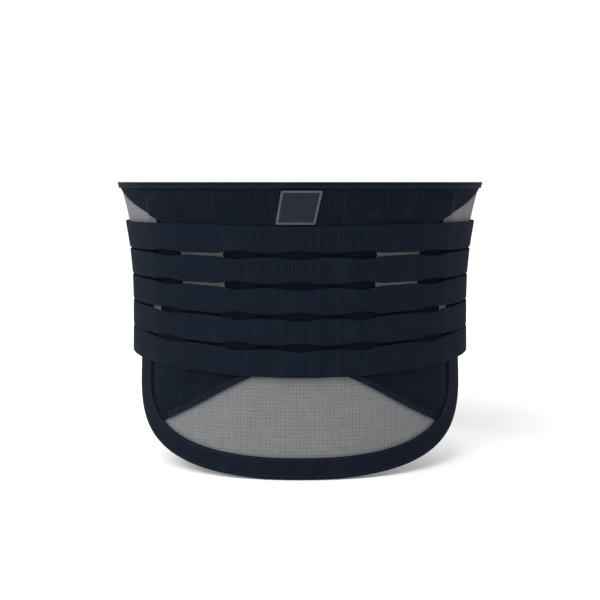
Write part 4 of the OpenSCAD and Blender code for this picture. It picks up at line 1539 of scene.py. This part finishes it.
def closure_hook(brace):
    """The hook patch inside the left wing's end."""
    end = brace.wing_end["left"]
    mid = (brace.wing_top(end) + brace.wing_low(end)) / 2
    start = -(end - brace.wing_binding_w - 2)
    outer = brace.lap_lift - brace.layer_gap
    s = np.linspace(start, start + brace.hook_w, 20)
    obj = ply(brace, "closure_hook_patch", s, mid - brace.hook_h / 2, mid + brace.hook_h / 2,
              outer - brace.hook_t, outer, rows=38, rim=-0.4)
    dressed(obj, "hook_tape")
    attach(obj, "left_wing")
    stands_for("left_closure_hook")


class BRACE_OT_wings(bpy.types.Operator):
    """The two front wings: mesh, loop cloth, binding and the hook patch of the closure"""

    bl_idname = "brace.wings"
    bl_label = "Wings"

    def execute(self, context):
        brace = Brace()
        for side in SIDES:
            for make in (wing_mesh, wing_loop_cloth, wing_edge, wing_straps):
                make(brace, side)
        closure_hook(brace)
        return {"FINISHED"}


def tab_ply(brace, side, name, from_s, to_s, inset, inner, thick, pillow):
    """One ply of a pull tab, with rounded corners and a slightly uneven face."""
    corner = brace.tab_corner
    s = np.sort(SIDES[side] * np.linspace(from_s, to_s, 44))
    dx = np.maximum(0, np.abs(s) - (brace.tab_end - corner))
    cut = corner - np.sqrt(np.maximum(0, (corner - inset) ** 2 - dx * dx))
    half = brace.tab_half(s) - cut

    def outer(at, z):
        return inner + thick + pillow * np.sin(at / 9.0) * np.sin(z / 11.0)

    return ply(brace, f"{side}_{name}", s, brace.tab_mid - half, brace.tab_mid + half, inner, outer, rows=40)


def tab_grip(brace, side):
    """The grip tape folded over a pull tab's end."""
    r, half = brace.tab_corner, float(brace.tab_half(brace.tab_end))
    at, low, high = brace.tab_end - r, brace.tab_mid - half + r, brace.tab_mid + half - r
    path = resampled(np.concatenate([arc(at, low, r, -62, 0, 4), arc(at, high, r, 0, 62, 4)]), 1.5)
    section = folded(brace.grip_w, brace.tab_in - 0.1 - brace.binding_t, brace.tab_out + brace.tab_t + 0.1,
                     brace.binding_t, 7)
    return tape(brace, f"{side}_grip", mirrored(path, side), section)


class BRACE_OT_pull_tabs(bpy.types.Operator):
    """The pull tabs that the straps are sewn into, with hook patches and grip tapes"""

    bl_idname = "brace.pull_tabs"
    bl_label = "Pull tabs"

    def execute(self, context):
        brace = Brace()
        root, end, grip = brace.tab_start, brace.tab_end - 1, brace.tab_end - brace.grip_w - 2
        for side in SIDES:
            for name, slot, node, from_s, to_s, inset, inner, thick, pillow in (
                ("tab_face", "tab_cloth", "pull_outer",
                 root - 8, end, 0.6, brace.tab_out, brace.tab_t, 0.15),
                ("tab_lining", "tab_cloth", "pull_inner",
                 root + 0.6, end, 0.6, brace.tab_in, brace.tab_t, 0.15),
                ("tab_hook", "hook_tape", "pull_hook",
                 root + 8.5, grip, 4, brace.tab_hook_in, brace.hook_t, 0),
            ):
                obj = dressed(tab_ply(brace, side, name, from_s, to_s, inset, inner, thick, pillow), slot)
                bend_at_tab(brace, obj, side)
                stands_for(f"{side}_{node}")
            obj = dressed(tab_grip(brace, side), "grip_tape", 55)
            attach(obj, f"{side}_pull")
            stands_for(f"{side}_pull_grip")
        return {"FINISHED"}


def pocket_rows(brace):
    """Two rows beside each pocket, above the straps, and for an outer pocket below them too."""
    beside, above, below = 4.5, (59.5, 82), -52
    rows = []
    for p, w in brace.pockets:
        for edge in (p - w / 2 - beside, p + w / 2 + beside):
            spans = [above]
            if brace.pocket_low(p) == brace.outer_pocket_low:
                spans.append((max(brace.pocket_low(p) - 10, float(brace.window_z(edge)) + 6), below))
            for span in spans:
                z = np.linspace(*span, 20)
                s = np.full(20, edge)
                depth = brace.panel_in + brace.panel_t + brace.raised(s, z) + STITCH_UP
                rows.append(stitch_row(s, z, depth))
    return rows


def wing_rows(brace, side, up):
    """Two rows along the wing's binding, two at the side seam and one at the loop cloth's edge."""
    path, lift = wing_path(brace, side), brace.lift(side)
    inner = (brace.wing_binding_w * wing_binding_share(brace, path) - 1.3)[:, None]
    cloth = brace.panel_in + brace.panel_t
    z = np.linspace(brace.top_height - 31, brace.top_height - 7, 14)
    seams = [stitch_row(SIDES[side] * (brace.side_seam + at), z, depth)
             for at, depth in ((-1.5, brace.mesh_t), (1.5, brace.mesh_t), (17.0, cloth))]
    return [row_along(path, inner, up, lift), row_along(path, 1.8, up, lift), *seams]


def tab_rows(brace, side, up):
    """Three rows across the pull tab's root, and one along each of its edges."""
    inset = 2.5
    rows = []
    for from_root in (-6.0, -3.4, 3.0):
        s = SIDES[side] * (brace.tab_start + from_root)
        half = float(brace.tab_half(s)) - inset
        rows.append(stitch_row(s, np.linspace(brace.tab_mid - half, brace.tab_mid + half, 60), up))
    s = np.linspace(brace.tab_start - 6, brace.tab_end - brace.grip_w - 1.5, 30)
    for edge in (-1, 1):
        z = brace.tab_mid + edge * (brace.tab_half(s) - inset)
        rows.append(stitch_row(SIDES[side] * s, z, up))
    return rows


def grip_row(brace, side, up):
    s = SIDES[side] * (brace.tab_end - brace.grip_w + 1.4)
    half = float(brace.tab_half(s)) - 4
    return stitch_row(s, np.linspace(brace.tab_mid - half, brace.tab_mid + half, 40), up)


class BRACE_OT_stitching(bpy.types.Operator):
    """The rows of stitches on bindings, hem, panels, wings and tabs"""

    bl_idname = "brace.stitching"
    bl_label = "Stitching"

    def execute(self, context):
        brace = Brace()
        on_binding = brace.binding_out + brace.binding_t + STITCH_UP
        on_hem = brace.binding_out + brace.panel_t + STITCH_UP
        on_tab = brace.tab_out + brace.tab_t + 0.1
        top, bottom, hem = top_path(brace), brace.flap_outline(), hem_path(brace, 0, 120)
        for name, rows, slot in (
            ("top_stitches", [row_along(top, brace.top_binding_w - 1.1, on_binding)], "bright_thread"),
            ("bottom_stitches",
             [row_along(bottom, at, on_binding) for at in (brace.bottom_binding_w - 1.6, 2.2)], "thread"),
            ("hem_stitches", [row_along(hem, at, on_hem) for at in (1.0, brace.hem_w - 1.0)], "thread"),
            ("panel_stitches", pocket_rows(brace), "thread"),
        ):
            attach(stitch_rows(brace, name, rows, slot), "root")
        for side in SIDES:
            wing = stitch_rows(brace, f"{side}_wing_stitches", wing_rows(brace, side, on_binding))
            bend_at_seam(wing)
            tab = stitch_rows(brace, f"{side}_tab_stitches", tab_rows(brace, side, on_tab))
            bend_at_tab(brace, tab, side)
            row = grip_row(brace, side, on_tab + brace.binding_t)
            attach(stitch_rows(brace, f"{side}_grip_stitches", [row]), f"{side}_pull")
        return {"FINISHED"}


def aimed(name, data, place, way):
    """A light at a place, shining along a direction."""
    lamp = link(name, data)
    lamp.location = place
    lamp.rotation_euler = Vector(way).to_track_quat("-Z", "Y").to_euler()


class BRACE_OT_stage(bpy.types.Operator):
    """The floor, the light and the camera"""

    bl_idname = "brace.stage"
    bl_label = "Stage"

    floor_radius, floor_gap = 9, 0.0006
    lamps = (  # name, place and size in metres, power in watts
        ("key_light", (-0.9, -1.1, 0.9), 0.9, 8.0),
        ("fill_light", (1.2, -0.9, 0.5), 1.0, 2.5),
        ("front_light", (0.3, 1.4, 1.1), 1.0, 7.0),
    )
    sky_way, sky_angle, sky_strength = (0.5, 0.45, -0.9), 60, 2.3
    backdrop_strength = 0.5
    camera_place, camera_pitch, camera_lens, camera_sensor = (0, -0.890, 0.091), 6.43, 62.8, 36

    def execute(self, context):
        context.scene.view_settings.view_transform = "Standard"
        self.backdrop()
        self.floor()
        for name, place, size, power in self.lamps:
            light = bpy.data.lights.new(name, "AREA")
            light.size, light.energy = size, power
            aimed(name, light, place, -Vector(place))
        sky = bpy.data.lights.new("sky_light", "SUN")
        sky.angle, sky.energy = math.radians(self.sky_angle), self.sky_strength
        aimed("sky_light", sky, (0, 0, 0), self.sky_way)
        camera = link("camera", bpy.data.cameras.new("camera"))
        camera.location = self.camera_place
        camera.rotation_euler = (math.radians(90 - self.camera_pitch), 0, 0)
        camera.data.lens, camera.data.sensor_width = self.camera_lens, self.camera_sensor
        camera.data.clip_start = 0.01
        context.scene.camera = camera
        return {"FINISHED"}

    def backdrop(self):
        """White where the camera sees it, and softer as a light."""
        world = bpy.data.worlds.new("studio")
        world.use_nodes = True
        tree = world.node_tree
        seen = tree.nodes["Background"]
        seen.inputs["Color"].default_value = (1, 1, 1, 1)
        lit = wire(tree, "ShaderNodeBackground",
                   inputs={"Color": (*shades().backdrop, 1), "Strength": self.backdrop_strength})
        ray = wire(tree, "ShaderNodeLightPath").outputs["Is Camera Ray"]
        both = wire(tree, "ShaderNodeMixShader", inputs={0: ray, 1: lit.outputs[0], 2: seen.outputs[0]})
        tree.links.new(both.outputs[0], tree.nodes["World Output"].inputs["Surface"])
        bpy.context.scene.world = world

    def floor(self):
        low, r = CAD_BOX[0].z - self.floor_gap, self.floor_radius
        ring = [(r * math.cos(a), r * math.sin(a), low) for a in np.radians(np.arange(0, 360, 5))]
        mesh = bpy.data.meshes.new("floor")
        mesh.from_pydata(ring, [], [list(range(len(ring)))])
        floor = link("floor", mesh)
        material = bpy.data.materials.new("studio_floor")
        material.use_nodes = True
        shader = material.node_tree.nodes["Principled BSDF"]
        shader.inputs["Base Color"].default_value = (*shades().floor, 1)
        shader.inputs["Roughness"].default_value = 0.9
        shader.inputs["Specular IOR Level"].default_value = 0.1
        mesh.materials.append(material)


class BRACE_PT_panel(bpy.types.Panel):
    bl_idname = "BRACE_PT_panel"
    bl_label = "Back brace"
    bl_space_type = "VIEW_3D"
    bl_region_type = "UI"
    bl_category = "Back Brace"

    def draw(self, context):
        for group, kind in GROUPS.items():
            box = self.layout.box()
            for key in kind.__annotations__:
                box.prop(getattr(context.scene, group), key)
        for operator in OPERATORS:
            self.layout.operator(operator.bl_idname)


OPERATORS = (
    BRACE_OT_stage,
    BRACE_OT_spacer_mesh,
    BRACE_OT_panels,
    BRACE_OT_stays,
    BRACE_OT_bindings,
    BRACE_OT_back_straps,
    BRACE_OT_badge,
    BRACE_OT_wings,
    BRACE_OT_pull_tabs,
    BRACE_OT_stitching,
)
GROUPS = {"brace_sizes": BraceSizes, "brace_shape": BraceShape, "brace_colours": BraceColours}


def register():
    for kind in (*GROUPS.values(), *OPERATORS, BRACE_PT_panel):
        bpy.utils.register_class(kind)
    for name, kind in GROUPS.items():
        setattr(bpy.types.Scene, name, bpy.props.PointerProperty(type=kind))


def unregister():
    for name in GROUPS:
        delattr(bpy.types.Scene, name)
    for kind in (*GROUPS.values(), *OPERATORS, BRACE_PT_panel):
        bpy.utils.unregister_class(kind)


def main():
    register()
    for operator in OPERATORS:
        area, name = operator.bl_idname.split(".")
        getattr(getattr(bpy.ops, area), name)()


if __name__ == "__main__":
    main()
